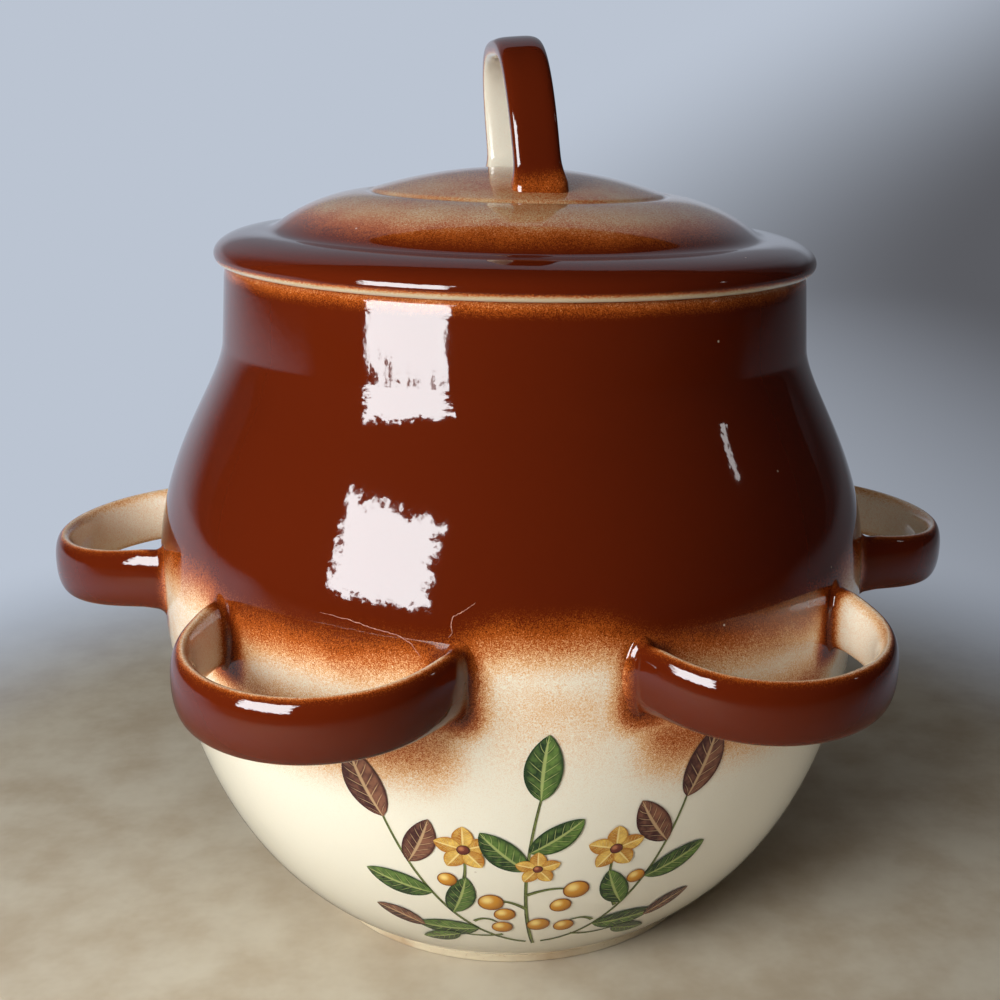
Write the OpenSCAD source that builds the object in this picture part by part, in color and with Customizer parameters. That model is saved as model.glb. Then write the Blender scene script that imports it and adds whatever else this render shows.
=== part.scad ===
// Stoneware bean pot: a round-bellied pot on a turned foot, six strap loops
// around its belly, and a lift-off lid with a strap handle.
// Millimetres, +Z up. The origin is at the middle of the foot, on the table.
// The front, -Y, is the middle of a gap between two loops.

/* [Pot] */
// Widest radius of the belly
belly_r = 125.5; // [112:0.1:140]
// Height of the widest part of the belly
belly_z = 127.5; // [115:0.5:138]
// Outer radius of the neck
neck_r = 99.5; // [88:0.1:108]
// Height where the neck turns upright
neck_z = 210; // [195:1:218]
// Height of the pot's rim, where the lid seats
rim_z = 231.5; // [224:0.5:250]
// Outer radius of the wall where it meets the foot
base_r = 77.2; // [77:0.1:90]
// Thickness of the wall
wall = 7; // [5:0.5:10]
// Thickness of the floor
floor_t = 8; // [6:0.5:12]
// How far the lower wall leans out before it turns up
base_lean = 35.3; // [20:0.1:40]
// How high the lower wall rises while it leans out
base_rise = 27.8; // [18:0.1:36]
// Upright pull of the curve below the belly
belly_pull_down = 48.5; // [30:0.5:56]
// Upright pull of the curve above the belly
belly_pull_up = 40; // [20:0.5:46]
// Upright pull of the hollow curve below the neck
neck_pull = 20.5; // [12:0.5:38]
// Rounding of the rim's two edges
rim_round = 2; // [1:0.5:3]

/* [Foot] */
// Outer radius of the foot where it stands
foot_r = 75; // [66:0.5:76]
// Height of the foot
foot_h = 5; // [3:0.5:8]
// Width of the foot ring
foot_w = 9.5; // [6:0.5:14]
// How far the foot flares out to its top
foot_flare = 1; // [0:0.1:2]
// Rounding of the foot's standing edges
foot_round = 1.2; // [0.5:0.1:2]

/* [Loops] */
// Number of loops around the belly
loop_count = 6; // [3:1:7]
// Height of the middle of the loops' roots
loop_z = 128.5; // [118:0.1:136]
// How far the side loops sit back from an even spacing, in degrees
loop_back = 5; // [-6:0.5:6]
// Outer radius of the pot over the loops
loop_tip_r = 165.2; // [152:0.5:180]
// Width of one loop over its outer faces
loop_w = 86.5; // [72:0.5:96]
// How far the straight legs of a loop reach past the belly's radius
loop_leg = 0.5; // [0:0.1:8]
// How far a loop's tip hangs below its roots
loop_droop = 3.6; // [0:0.1:6]
// Height of the strap
strap_h = 19.5; // [14:0.5:23]
// Thickness of the strap
strap_t = 7; // [5:0.5:9]
// Height of the strap's root on the wall
root_h = 27.5; // [22:0.5:36]
// Thickness of the strap's root
root_t = 17; // [10:0.5:18]
// Reach of the root's flare along the strap
root_reach = 7.5; // [4:0.5:14]

/* [Lid] */
// How far the lid's rim stands out over the neck
lid_overhang = 2.2; // [1:0.1:4]
// Height of the lid's rim band
band_h = 10.7; // [7:0.1:12]
// Radius of the step between the rim band and the shoulder
step_r = 83; // [70:0.5:86]
// Radius of the raised disc in the middle of the lid
disc_r = 49.5; // [46:0.5:60]
// Height of the disc's edge above the seat
disc_z = 23.3; // [18:0.1:28]
// Height of the disc's edge above the groove around it
disc_step = 0.6; // [0.3:0.1:2]
// Rise of the disc from its edge to its middle
crown = 7.7; // [3:0.1:10]
// Thickness of the lid
lid_wall = 8; // [6:0.5:10]
// Width of the flat seat under the lid's rim
seat_w = 15; // [12:0.5:18]

/* [Locating ring] */
// Gap between the locating ring and the pot's mouth
lid_clearance = 2.2; // [1:0.1:3.5]
// Depth of the locating ring below the seat
ring_depth = 12; // [8:0.5:18]
// Thickness of the locating ring
ring_t = 6; // [4:0.5:8]
// Taper of the locating ring's wall towards its lower edge
ring_taper = 1.5; // [0:0.1:2]

/* [Lid handle] */
// Height of the handle above the disc's edge
handle_h = 49.8; // [40:0.1:60]
// Length of the handle over its outer faces
handle_l = 80; // [60:1:84]
// Width of the handle's strap
handle_w = 14.8; // [12:0.1:20]
// Thickness of the handle's strap
handle_t = 6.5; // [5:0.5:8]
// Width of the strap where it meets the lid
handle_root_w = 18; // [15:0.5:24]
// Thickness of the strap where it meets the lid
handle_root_t = 12; // [8:0.5:13]
// Reach of the flare above the lid
handle_reach = 4.5; // [3:0.5:9]
// How far the handle is turned from front-to-back, in degrees
handle_turn = 3.1; // [-90:0.1:90]
// How far the handle leans to the left, in degrees
handle_lean = 5.4; // [-8:0.1:8]
// How far the handle stands to the right of the lid's middle
handle_shift = 1.7; // [-4:0.1:4]

/* [Hidden] */

$fn = 120;
stations = 13;          // points along each curve of the outline
loop_stations = 26;     // rings round the oval part of a loop
leg_stations = 4;       // rings along each of its legs
handle_stations = 36;   // rings along the handle's strap
strap_sides = 16;       // points around a strap
strap_square = 0.62;    // 1 makes a strap's section round, 0 makes it square
buried = 16;            // depth of a strap's end inside the wall before it is cut
groove_w = 1.2;         // width of the groove around the lid's disc
groove_depth = 0.6;     // depth of that groove
arch_square = 0.6;     // 1 makes the handle's arch round, 0 makes it square
edge_steps = 6;         // points on a small rounded edge

mouth_r = neck_r - wall;
lid_r = neck_r + lid_overhang;
floor_z = foot_h + floor_t;
seat_in_r = lid_r - seat_w - rim_round;
ring_r = mouth_r - lid_clearance;
lid_top_z = rim_z + disc_z;
step_z = rim_z + band_h;

glaze_brown = [0.42, 0.17, 0.08];
glaze_cream = [0.90, 0.85, 0.74];
glaze_tan = [0.72, 0.48, 0.30];

// One point of a cubic curve through a and d, drawn towards b and c
function cubic(a, b, c, d, t) =
    pow(1 - t, 3) * a + 3 * pow(1 - t, 2) * t * b
    + 3 * (1 - t) * t * t * c + t * t * t * d;

// The whole curve, without its first point
function curve(a, b, c, d, n) = [for (i = [1:n]) cubic(a, b, c, d, i / n)];

// The same curve moved sideways by dist, to the left of its direction
function beside(a, b, c, d, n, dist) = [
    for (i = [0:n])
        let (t = i / n,
             p = cubic(a, b, c, d, t),
             q = cubic(a, b, c, d, min(1, t + 0.002)) - cubic(a, b, c, d, max(0, t - 0.002)))
        p + dist * [-q[1], q[0]] / norm(q)
];

// Quarter round from angle a0 to a1 about the centre c
function round_edge(c, r, a0, a1, n = edge_steps) =
    [for (i = [0:n]) let (a = a0 + (a1 - a0) * i / n) c + r * [cos(a), sin(a)]];

// ---- Outline of the pot, as [radius, height] points ----

base_point = [base_r, foot_h];
belly_point = [belly_r, belly_z];
neck_point = [neck_r, neck_z];
base_pull = base_point + [base_lean, base_rise];
belly_low = belly_point - [0, belly_pull_down];
belly_high = belly_point + [0, belly_pull_up];
neck_low = neck_point - [0, neck_pull];

function pot_outside() = concat(
    [base_point],
    curve(base_point, base_pull, belly_low, belly_point, stations),
    curve(belly_point, belly_high, neck_low, neck_point, stations));

// The inside follows the outside at the wall's thickness, and turns into the
// floor in a round hollow.
function pot_inside() =
    let (low = [for (p = beside(base_point, base_pull, belly_low, belly_point, stations, wall))
                if (p[1] > floor_z + wall) p],
         lean = (low[1][0] - low[0][0]) / (low[1][1] - low[0][1]),
         corner = [low[0][0] - lean * (low[0][1] - floor_z), floor_z],
         flat = corner - [norm(low[0] - corner), 0])
    concat([flat], curve(flat, (flat + 2 * corner) / 3, (low[0] + 2 * corner) / 3, low[0], 6),
           [for (i = [1:len(low) - 1]) low[i]],
           [for (p = beside(belly_point, belly_high, neck_low, neck_point, stations, wall)) p]);

module pot_body() {
    rim = concat(
        round_edge([neck_r - rim_round, rim_z - rim_round], rim_round, 0, 90),
        round_edge([mouth_r + rim_round, rim_z - rim_round], rim_round, 90, 180));
    inside = pot_inside();
    color(glaze_brown)
    rotate_extrude()
    polygon(concat([[0, foot_h]], pot_outside(), rim,
                   [for (i = [len(inside) - 1:-1:0]) inside[i]], [[0, floor_z]]));
}

module foot_ring() {
    inner_r = foot_r - foot_w;
    color(glaze_cream)
    rotate_extrude()
    polygon(concat(
        round_edge([inner_r + foot_round, foot_round], foot_round, 180, 270),
        round_edge([foot_r - foot_round, foot_round], foot_round, 270, 360),
        [[foot_r + foot_flare, foot_h], [inner_r, foot_h]]));
}

// ---- Straps ----

// Section of a strap: t thick, h high, centred, in the plane of out and up
function strap_section(t, h) = [
    for (i = [0:strap_sides - 1])
        let (a = 360 * (i + 0.5) / strap_sides)
        [t / 2 * sign(cos(a)) * pow(abs(cos(a)), strap_square),
         h / 2 * sign(sin(a)) * pow(abs(sin(a)), strap_square)]
];

// A closed skin over rings that each hold the same number of points
module skin(rings) {
    n = len(rings[0]);
    last = len(rings) - 1;
    points = [for (ring = rings) for (p = ring) p];
    sides = [for (i = [0:last - 1]) for (j = [0:n - 1])
        let (a = i * n + j, b = i * n + (j + 1) % n)
        each [[a, b, b + n], [a, b + n, a + n]]];
    ends = [[for (j = [n - 1:-1:0]) j], [for (j = [0:n - 1]) last * n + j]];
    polyhedron(points, concat(sides, ends), convexity = 6);
}

// Share of the root's flare at a distance from the surface that it grows from
function flare(dist, reach) = exp(-pow(max(0, dist) / reach, 2));

// A loop's middle line is half an oval on two straight legs that run into the
// wall. u runs along the wall and v outwards.
loop_half = (loop_w - strap_t) / 2;
leg_in = belly_r - buried;
leg_out = belly_r + loop_leg;
loop_tip = loop_tip_r - strap_t / 2;
loop_path = concat(
    [for (i = [0:leg_stations - 1]) [loop_half, leg_in + (leg_out - leg_in) * i / leg_stations]],
    [for (i = [0:loop_stations]) let (a = 180 * i / loop_stations)
        [loop_half * cos(a), leg_out + (loop_tip - leg_out) * sin(a)]],
    [for (i = [1:leg_stations]) [-loop_half, leg_out - (leg_out - leg_in) * i / leg_stations]]);

function loop_ring(i) =
    let (last = len(loop_path) - 1,
         p = loop_path[i],
         q = loop_path[min(last, i + 1)] - loop_path[max(0, i - 1)],
         out = [q[1], -q[0]] / norm(q),
         f = flare(norm(p) - belly_r, root_reach),
         t = strap_t + (root_t - strap_t) * f,
         h = strap_h + (root_h - strap_h) * f,
         z = loop_z - loop_droop * max(0, p[1] - belly_r) / (loop_tip_r - belly_r))
    [for (s = strap_section(t, h)) [p[0] + s[0] * out[0], p[1] + s[0] * out[1], z + s[1]]];

// The loops' angles from the front: even, but the side ones sit further back
function loop_turn(k) =
    let (even = (k + 0.5) * 360 / loop_count)
    even + loop_back * sin(even) * abs(sin(even));

// The pot's outside beside the loops, to cut their ends to the wall
module belly_solid() {
    near = [for (p = pot_outside())
            if (abs(p[1] - loop_z) < root_h / 2 + loop_droop + 12) p];
    rotate_extrude()
    polygon(concat([[0, near[0][1]]], near, [[0, near[len(near) - 1][1]]]));
}

// Loop number k counts round from the front, to the right first
module strap_loop(k) {
    color(glaze_brown)
    difference() {
        rotate([0, 0, 180 + loop_turn(k)])
        skin([for (i = [0:len(loop_path) - 1]) loop_ring(i)]);
        belly_solid();
    }
}

// ---- Lid ----

// Height of the crowned disc at a distance from the middle
function disc_height(r) = lid_top_z + disc_step + crown * (1 - pow(r / disc_r, 2));

// Outside of the lid above its rim, from the widest point to the middle
function lid_outside() =
    let (widest = [lid_r, rim_z + 0.3 * band_h],
         step = [step_r, step_z],
         shoulder = [disc_r + groove_w, lid_top_z])
    concat(
        curve(widest, widest + [0, 0.45 * band_h], step + [0.55 * (lid_r - step_r), 0.5], step, stations),
        curve(step, step + [-5, 0.36 * (disc_z - band_h)], shoulder + [0.42 * (step_r - disc_r), -0.5],
              shoulder, stations),
        [[disc_r + groove_w / 2, lid_top_z - groove_depth]],
        [for (i = [0:stations]) let (r = disc_r * (1 - i / stations)) [r, disc_height(r)]]);

// Hollow under the lid, from the middle out to the seat
function lid_inside() =
    let (top = [0, lid_top_z + disc_step + crown - lid_wall],
         rest = [seat_in_r, rim_z])
    concat([top], curve(top, [0.62 * step_r, top[1]], [seat_in_r, rim_z + 0.9 * band_h], rest, stations));

module lid_cover() {
    lip = round_edge([lid_r - 0.3 * band_h, rim_z + 0.3 * band_h], 0.3 * band_h, 270, 360);
    color(glaze_tan)
    rotate_extrude()
    polygon(concat(lid_inside(), lip, lid_outside()));
}

module lid_locating_ring() {
    low_z = rim_z - ring_depth;
    color(glaze_cream)
    rotate_extrude()
    polygon(concat(
        [[ring_r, rim_z], [ring_r - ring_t, rim_z]],
        round_edge([ring_r - ring_t + ring_taper + 1, low_z + 1], 1, 180, 270),
        round_edge([ring_r - ring_taper - 1, low_z + 1], 1, 270, 360)));
}

// The handle's middle line is an arch: u runs along the lid and v upwards
function handle_point(a) =
    let (half = (handle_l - handle_t) / 2,
         low = lid_top_z - handle_t,
         high = lid_top_z + handle_h - handle_t / 2)
    [half * sign(cos(a)) * pow(abs(cos(a)), arch_square),
     low + (high - low) * pow(abs(sin(a)), arch_square)];

function handle_ring(a) =
    let (p = handle_point(a),
         q = handle_point(min(179.99, a + 0.5)) - handle_point(max(0.01, a - 0.5)),
         out = [q[1], -q[0]] / norm(q),
         f = flare(p[1] - disc_height(p[0]), handle_reach),
         t = handle_t + (handle_root_t - handle_t) * f,
         w = handle_w + (handle_root_w - handle_w) * f)
    [for (s = strap_section(t, w)) [s[1], p[0] + s[0] * out[0], p[1] + s[0] * out[1]]];

// The lid's crowned disc as a solid, to cut the handle's ends to it
module disc_solid() {
    top = [for (p = lid_outside()) if (p[0] <= disc_r) p];
    rotate_extrude()
    polygon(concat([[0, rim_z], [disc_r, rim_z]], top));
}

module lid_handle() {
    color(glaze_brown)
    difference() {
        rotate([0, 0, handle_turn])
        translate([handle_shift, 0, lid_top_z])
        rotate([0, -handle_lean, 0])
        translate([0, 0, -lid_top_z])
        skin([for (i = [0:handle_stations]) handle_ring(90 - 89.9 * cos(180 * i / handle_stations))]);
        disc_solid();
    }
}

pot_body();
foot_ring();
strap_loop(0);  // loop_front_right
strap_loop(1);  // loop_side_right
strap_loop(2);  // loop_back_right
strap_loop(3);  // loop_back_left
strap_loop(4);  // loop_side_left
strap_loop(5);  // loop_front_left
lid_cover();
lid_locating_ring();
lid_handle();
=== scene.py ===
"""Stoneware bean pot: glazes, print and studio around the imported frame.

The pot, its foot, the strap loops and the lid are smooth surfaces worked out
with numpy from the same sizes as the frame's solids. The glaze is one spray
model: each piece carries a "spray" attribute that says how thickly the brown
was sprayed there, and a shared node group breaks it into droplets and colours.

Sizes are in millimetres and angles in degrees, unless a name says otherwise.
Angles round the pot count from the front (-Y), positive towards +X.
"""

import logging
import math
from collections.abc import Callable
from dataclasses import dataclass, field, replace
from enum import Enum

import bpy
import numpy as np
from mathutils import Matrix

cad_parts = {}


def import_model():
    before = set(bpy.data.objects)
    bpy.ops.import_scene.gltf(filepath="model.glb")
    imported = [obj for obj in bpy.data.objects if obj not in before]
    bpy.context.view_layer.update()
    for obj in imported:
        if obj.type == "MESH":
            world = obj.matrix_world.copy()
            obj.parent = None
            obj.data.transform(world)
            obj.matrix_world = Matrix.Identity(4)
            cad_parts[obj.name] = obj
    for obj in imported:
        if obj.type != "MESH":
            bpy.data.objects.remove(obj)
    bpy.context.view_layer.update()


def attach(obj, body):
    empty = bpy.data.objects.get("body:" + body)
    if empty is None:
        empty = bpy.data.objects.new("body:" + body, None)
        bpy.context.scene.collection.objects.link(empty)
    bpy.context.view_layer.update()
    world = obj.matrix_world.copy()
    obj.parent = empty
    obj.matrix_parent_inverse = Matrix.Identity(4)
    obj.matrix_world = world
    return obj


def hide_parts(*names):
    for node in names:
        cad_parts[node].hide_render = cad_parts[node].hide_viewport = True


LOG = logging.getLogger("bean_pot")
MM = 0.001
TURN_STEPS = 256
TINY = 1e-6

Point = tuple[float, float]
Span = tuple[float, float]
Colour = tuple[float, float, float]
Array = np.ndarray


class Body(Enum):
    """The bodies of the frame that a piece can ride on."""

    POT = "pot"
    LID = "lid"


class Slot(Enum):
    """The record's material slots."""

    POT = "pot_glaze"
    LOOP = "loop_glaze"
    LID = "lid_glaze"
    HANDLE = "handle_glaze"
    BARE = "bare_stoneware"
    PRINT = "decal_print"


# ---------------------------------------------------------------- curves


def cubic(a: Point, b: Point, c: Point, d: Point, count: int) -> Array:
    """Points on the cubic curve from a to d, drawn towards b and c.

    Args:
        a, b, c, d: The curve's four control points.
        count: The number of points, both ends included.

    Returns:
        An array of count by 2.
    """
    t = np.linspace(0.0, 1.0, count)[:, None]
    a, b, c, d = (np.array(p, float) for p in (a, b, c, d))
    s = 1.0 - t
    return s**3 * a + 3 * s**2 * t * b + 3 * s * t**2 * c + t**3 * d


def arc(centre: Point, radius: float, start: float, end: float, count: int) -> Array:
    """Points on a round edge: centre plus radius times (cos, sin) of the angle.

    Args:
        centre: The arc's centre.
        radius: The arc's radius.
        start, end: The angles of its ends, in degrees.
        count: The number of points.

    Returns:
        An array of count by 2.
    """
    a = np.radians(np.linspace(start, end, count))
    return np.stack([centre[0] + radius * np.cos(a), centre[1] + radius * np.sin(a)], 1)


def heading(line: Array) -> Array:
    """The line's direction at each of its points, as vectors of length 1."""
    run = np.gradient(line, axis=0)
    return run / np.linalg.norm(run, axis=1, keepdims=True)


def lengths(line: Array) -> Array:
    """How far each of the line's points lies along it, from 0."""
    steps = np.linalg.norm(np.diff(line, axis=0), axis=1)
    return np.concatenate([[0.0], np.cumsum(steps)])


def points_at(line: Array, place: Array) -> Array:
    """The line's points at the lengths along it that place gives."""
    along = lengths(line)
    return np.stack([np.interp(place, along, line[:, i]) for i in (0, 1)], 1)


def beside(line: Array, distance: float) -> Array:
    """The line moved sideways: each point plus distance along its left normal."""
    run = heading(line)
    return line + distance * np.stack([-run[:, 1], run[:, 0]], 1)


def turned(x: Array, y: Array, z: Array, angle: float) -> Array:
    """Turns points round Z: (x cos - y sin, x sin + y cos, z) of the angle.

    Args:
        x, y, z: Arrays of one shape.
        angle: The turn, in degrees.

    Returns:
        Points, with a last axis of 3.
    """
    cos, sin = math.cos(math.radians(angle)), math.sin(math.radians(angle))
    return np.stack([x * cos - y * sin, x * sin + y * cos, z], -1)


def squared(wave: Array, power: float) -> Array:
    """A wave with its sign kept and its size raised to a power below 1."""
    return np.sign(wave) * np.abs(wave) ** power


def ring_angles(steps: int = TURN_STEPS) -> Array:
    """Even angles round a turn from 0, in degrees."""
    return np.arange(steps) * 360.0 / steps


def section_angles(sides: int) -> Array:
    """Even angles round a strap's section from half a step, in radians."""
    return np.radians((np.arange(sides) + 0.5) * 360.0 / sides)


def signed(angle: Array) -> Array:
    """Angles of 0 to 360 degrees as angles of -180 to 180."""
    return np.where(angle > 180, angle - 360, angle)


def smooth(x: Array, low: float, high: float) -> Array:
    """A smooth step: 0 below low, 1 above high, 3t^2 - 2t^3 between."""
    t = np.clip((x - low) / (high - low), 0.0, 1.0)
    return t * t * (3.0 - 2.0 * t)


def bump(x: Array, middle: float, width: float) -> Array:
    """A bell curve: exp of minus the squared distance to middle over width."""
    return np.exp(-(((x - middle) / width) ** 2))


@dataclass(frozen=True)
class Ramp:
    """A smooth step of 0 to 1 from a low to a high limit."""

    low: float
    high: float

    def at(self, x: Array) -> Array:
        """The step's value at x."""
        return smooth(x, self.low, self.high)


@dataclass(frozen=True)
class Bell:
    """A bell curve with a height, a middle and a width."""

    height: float
    middle: float
    width: float

    def at(self, x: Array) -> Array:
        """The curve's value at x."""
        return self.height * bump(x, self.middle, self.width)


def ripple(angle: Array, seed: int, terms: int = 7) -> Array:
    """A seeded, smooth, closed wave round the pot, about -1 to 1.

    It sums sines of 1 to terms waves round the pot. The k-th one's height is
    1 / k^0.7, and the sum is divided by its usual greatest height.

    Args:
        angle: Angles in degrees, of any shape.
        seed: The seed of the phases.
        terms: The number of sines.

    Returns:
        An array shaped like angle.
    """
    falling, greatest = 0.7, 2.4
    rng = np.random.default_rng(seed)
    total = np.zeros_like(angle, float)
    for k in range(1, terms + 1):
        phase = rng.uniform(0, 2 * math.pi)
        total += np.sin(np.radians(k * angle) + phase) / k**falling
    return total / greatest


# ---------------------------------------------------------------- meshes


def make_mesh(
    name: str, points: Array, faces: list[Array], layers: dict[str, Array]
) -> bpy.types.Object:
    """Puts points and faces into a new smooth mesh object at the origin.

    Args:
        name: The piece's name.
        points: Vertex positions in millimetres, n by 3.
        faces: Arrays of vertex numbers, each m by 3 or m by 4.
        layers: Point attributes: n values, or n by 2 for a UV map.

    Returns:
        The linked object.
    """
    mesh = bpy.data.meshes.new(name)
    mesh.vertices.add(len(points))
    mesh.vertices.foreach_set("co", (points * MM).astype(np.float32).ravel())
    corners = np.concatenate([f.ravel() for f in faces]).astype(np.int32)
    sizes = np.concatenate([np.full(len(f), f.shape[1]) for f in faces])
    starts = np.concatenate([[0], np.cumsum(sizes)[:-1]]).astype(np.int32)
    mesh.loops.add(len(corners))
    mesh.loops.foreach_set("vertex_index", corners)
    mesh.polygons.add(len(sizes))
    mesh.polygons.foreach_set("loop_start", starts)
    mesh.update(calc_edges=True)
    mesh.shade_smooth()
    for key, values in layers.items():
        if values.ndim == 2:
            uv = mesh.uv_layers.new(name=key)
            uv.data.foreach_set("uv", values[corners].astype(np.float32).ravel())
        else:
            layer = mesh.attributes.new(key, "FLOAT", "POINT")
            layer.data.foreach_set("value", values.astype(np.float32))
    mesh.validate()
    obj = bpy.data.objects.new(name, mesh)
    bpy.context.scene.collection.objects.link(obj)
    return obj


def grid_faces(rows: int, columns: int, wrap_rows: bool, wrap_columns: bool) -> Array:
    """Quads over a grid of vertices numbered row by row.

    Args:
        rows, columns: The grid's size in vertices.
        wrap_rows: Whether the last row joins the first.
        wrap_columns: Whether the last column joins the first.

    Returns:
        An array of quads, m by 4.
    """
    i = np.arange(rows if wrap_rows else rows - 1)[:, None]
    j = np.arange(columns if wrap_columns else columns - 1)[None, :]
    right, down = (j + 1) % columns, (i + 1) % rows
    a, b = i * columns + j, i * columns + right
    c, d = down * columns + right, down * columns + j
    return np.stack([a, b, c, d], -1).reshape(-1, 4)


def end_fans(rings: int, sides: int) -> list[Array]:
    """Triangles that close a tube's first and last ring.

    Each fan meets in a pole. The poles are the two vertices after the rings'.

    Args:
        rings, sides: The tube's size in vertices.

    Returns:
        The two fans, each sides by 3.
    """
    j = np.arange(sides)
    k = (j + 1) % sides
    first, base = rings * sides, (rings - 1) * sides
    return [
        np.stack([k, j, np.full(sides, first)], 1),
        np.stack([base + j, base + k, np.full(sides, first + 1)], 1),
    ]


def revolve(
    name: str, profile: Array, spray: Array | None = None, segments: int = TURN_STEPS
) -> bpy.types.Object:
    """Turns a profile round Z: x = r sin(angle), y = -r cos(angle), z = height.

    A profile that starts and ends on the axis is closed there with a pole.
    Any other profile is a closed loop. It runs so that faces point outwards:
    up on its outer side.

    Args:
        name: The piece's name.
        profile: Points of radius and height, n by 2.
        spray: Values of the spray for rows by segments, or None for none.
        segments: The number of steps round the axis.

    Returns:
        The piece.
    """
    poles = profile[0, 0] < TINY
    rows = profile[1:-1] if poles else profile
    turn = np.radians(ring_angles(segments))[None, :]
    r, z = rows[:, :1], rows[:, 1:]
    grid = np.stack([r * np.sin(turn), -r * np.cos(turn), z + 0 * turn], -1)
    grid = grid.reshape(-1, 3)
    faces = [grid_faces(len(rows), segments, not poles, True)]
    values = np.zeros(len(grid)) if spray is None else spray.reshape(-1)
    if poles:
        faces += end_fans(len(rows), segments)
        ends = [[0.0, 0.0, profile[0, 1]], [0.0, 0.0, profile[-1, 1]]]
        grid = np.vstack([grid, ends])
        values = np.append(values, [values[0], values[-segments]])
    return make_mesh(name, grid, faces, {"spray": values})


def skin_tube(name: str, rings: Array, layers: dict[str, Array]) -> bpy.types.Object:
    """A closed skin over rings of points, with a fan at each end.

    Args:
        name: The piece's name.
        rings: Points, rings by sides by 3.
        layers: Point attributes, each rings by sides.

    Returns:
        The piece.
    """
    count, sides = rings.shape[:2]
    faces = [grid_faces(count, sides, False, True), *end_fans(count, sides)]
    points = np.vstack([rings.reshape(-1, 3), rings[0].mean(0), rings[-1].mean(0)])
    flat = {}
    for key, values in layers.items():
        ends = [values[0].mean(), values[-1].mean()]
        flat[key] = np.append(values.reshape(-1), ends)
    return make_mesh(name, points, faces, flat)


# ---------------------------------------------------------------- materials


def srgb(red: int, green: int, blue: int) -> Colour:
    """A screen colour as the linear values that the shaders want.

    Args:
        red, green, blue: The channels, 0 to 255.

    Returns:
        The channels, 0 to 1.
    """
    scaled = np.array([red, green, blue]) / 255.0
    curve = ((scaled + 0.055) / 1.055) ** 2.4
    return tuple(np.where(scaled <= 0.04045, scaled / 12.92, curve))


CREAM = srgb(236, 228, 208)
TAN = srgb(224, 173, 120)
THIN_BROWN = srgb(174, 85, 28)
DEEP_BROWN = srgb(86, 26, 6)
DROPLET_SCALE = 3000.0
GLAZE_IOR = 1.6


class Nodes:
    """A short way to write a node tree."""

    def __init__(self, tree: bpy.types.NodeTree) -> None:
        """Holds the tree that nodes are added to."""
        self.tree = tree

    def add(
        self, kind: str, settings: dict | None = None, **inputs: object
    ) -> bpy.types.Node:
        """Adds a node.

        Args:
            kind: The node's type name.
            settings: Properties of the node to set.
            inputs: Input sockets by name, with _ for a space, as a socket to
                link or a value to set. A name of i0, i1... counts sockets.

        Returns:
            The node.
        """
        node = self.tree.nodes.new(kind)
        for key, value in (settings or {}).items():
            setattr(node, key, value)
        for key, value in inputs.items():
            counted = key[0] == "i" and key[1:].isdigit()
            socket = node.inputs[int(key[1:]) if counted else key.replace("_", " ")]
            if isinstance(value, bpy.types.NodeSocket):
                self.tree.links.new(value, socket)
            elif socket.type == "RGBA" and len(value) == 3:
                socket.default_value = (*value, 1.0)
            else:
                socket.default_value = value
        return node

    def math(self, operation: str, *values: object) -> bpy.types.NodeSocket:
        """One Math node of that operation on the values given."""
        inputs = {f"i{n}": v for n, v in enumerate(values)}
        return self.add("ShaderNodeMath", {"operation": operation}, **inputs).outputs[0]

    def step(self, value: object, low: object, high: object) -> bpy.types.NodeSocket:
        """Adds a smooth step.

        Args:
            value: What is stepped.
            low, high: Where the step begins and ends.

        Returns:
            0 at low to 1 at high.
        """
        settings = {"interpolation_type": "SMOOTHSTEP"}
        limits = {"From_Min": low, "From_Max": high}
        node = self.add("ShaderNodeMapRange", settings, Value=value, **limits)
        return node.outputs[0]

    def mix(self, share: object, first: object, second: object) -> bpy.types.NodeSocket:
        """A colour mixed from first to second by share."""
        inputs = {"i0": share, "i6": first, "i7": second}
        return self.add("ShaderNodeMix", {"data_type": "RGBA"}, **inputs).outputs[2]

    def noise(
        self,
        scale: object,
        detail: float = 2.0,
        rough: float = 0.5,
        where: object = None,
    ) -> bpy.types.NodeSocket:
        """Adds a Noise texture.

        Args:
            scale: The texture's scale.
            detail: Its number of finer layers.
            rough: Their share.
            where: The coordinates, or None for the Object ones.

        Returns:
            Its value, 0 to 1.
        """
        place = where or self.add("ShaderNodeTexCoord").outputs["Object"]
        grain = {"Scale": scale, "Detail": detail, "Roughness": rough}
        return self.add("ShaderNodeTexNoise", Vector=place, **grain).outputs[0]

    def sway(self, value: object, height: float) -> bpy.types.NodeSocket:
        """A value of 0 to 1 spread over that height, half of it below 0."""
        return self.math("MULTIPLY_ADD", value, height, -height / 2)

    def distance(self, first: object, second: object) -> bpy.types.NodeSocket:
        """Measures a distance.

        Args:
            first, second: The two points.

        Returns:
            How far apart they are.
        """
        points = {"i0": first, "i1": second}
        node = self.add("ShaderNodeVectorMath", {"operation": "DISTANCE"}, **points)
        return node.outputs["Value"]

    def coordinates(self, place: object) -> bpy.types.NodeOutputs:
        """A point's X, Y and Z as sockets."""
        return self.add("ShaderNodeSeparateXYZ", Vector=place).outputs


def new_material(name: str) -> tuple[bpy.types.Material, Nodes, bpy.types.Node]:
    """Starts a material.

    Args:
        name: The material's name.

    Returns:
        The material, its nodes and its Principled shader.
    """
    material = bpy.data.materials.new(name)
    material.use_nodes = True
    shader = material.node_tree.nodes["Principled BSDF"]
    return material, Nodes(material.node_tree), shader


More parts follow.
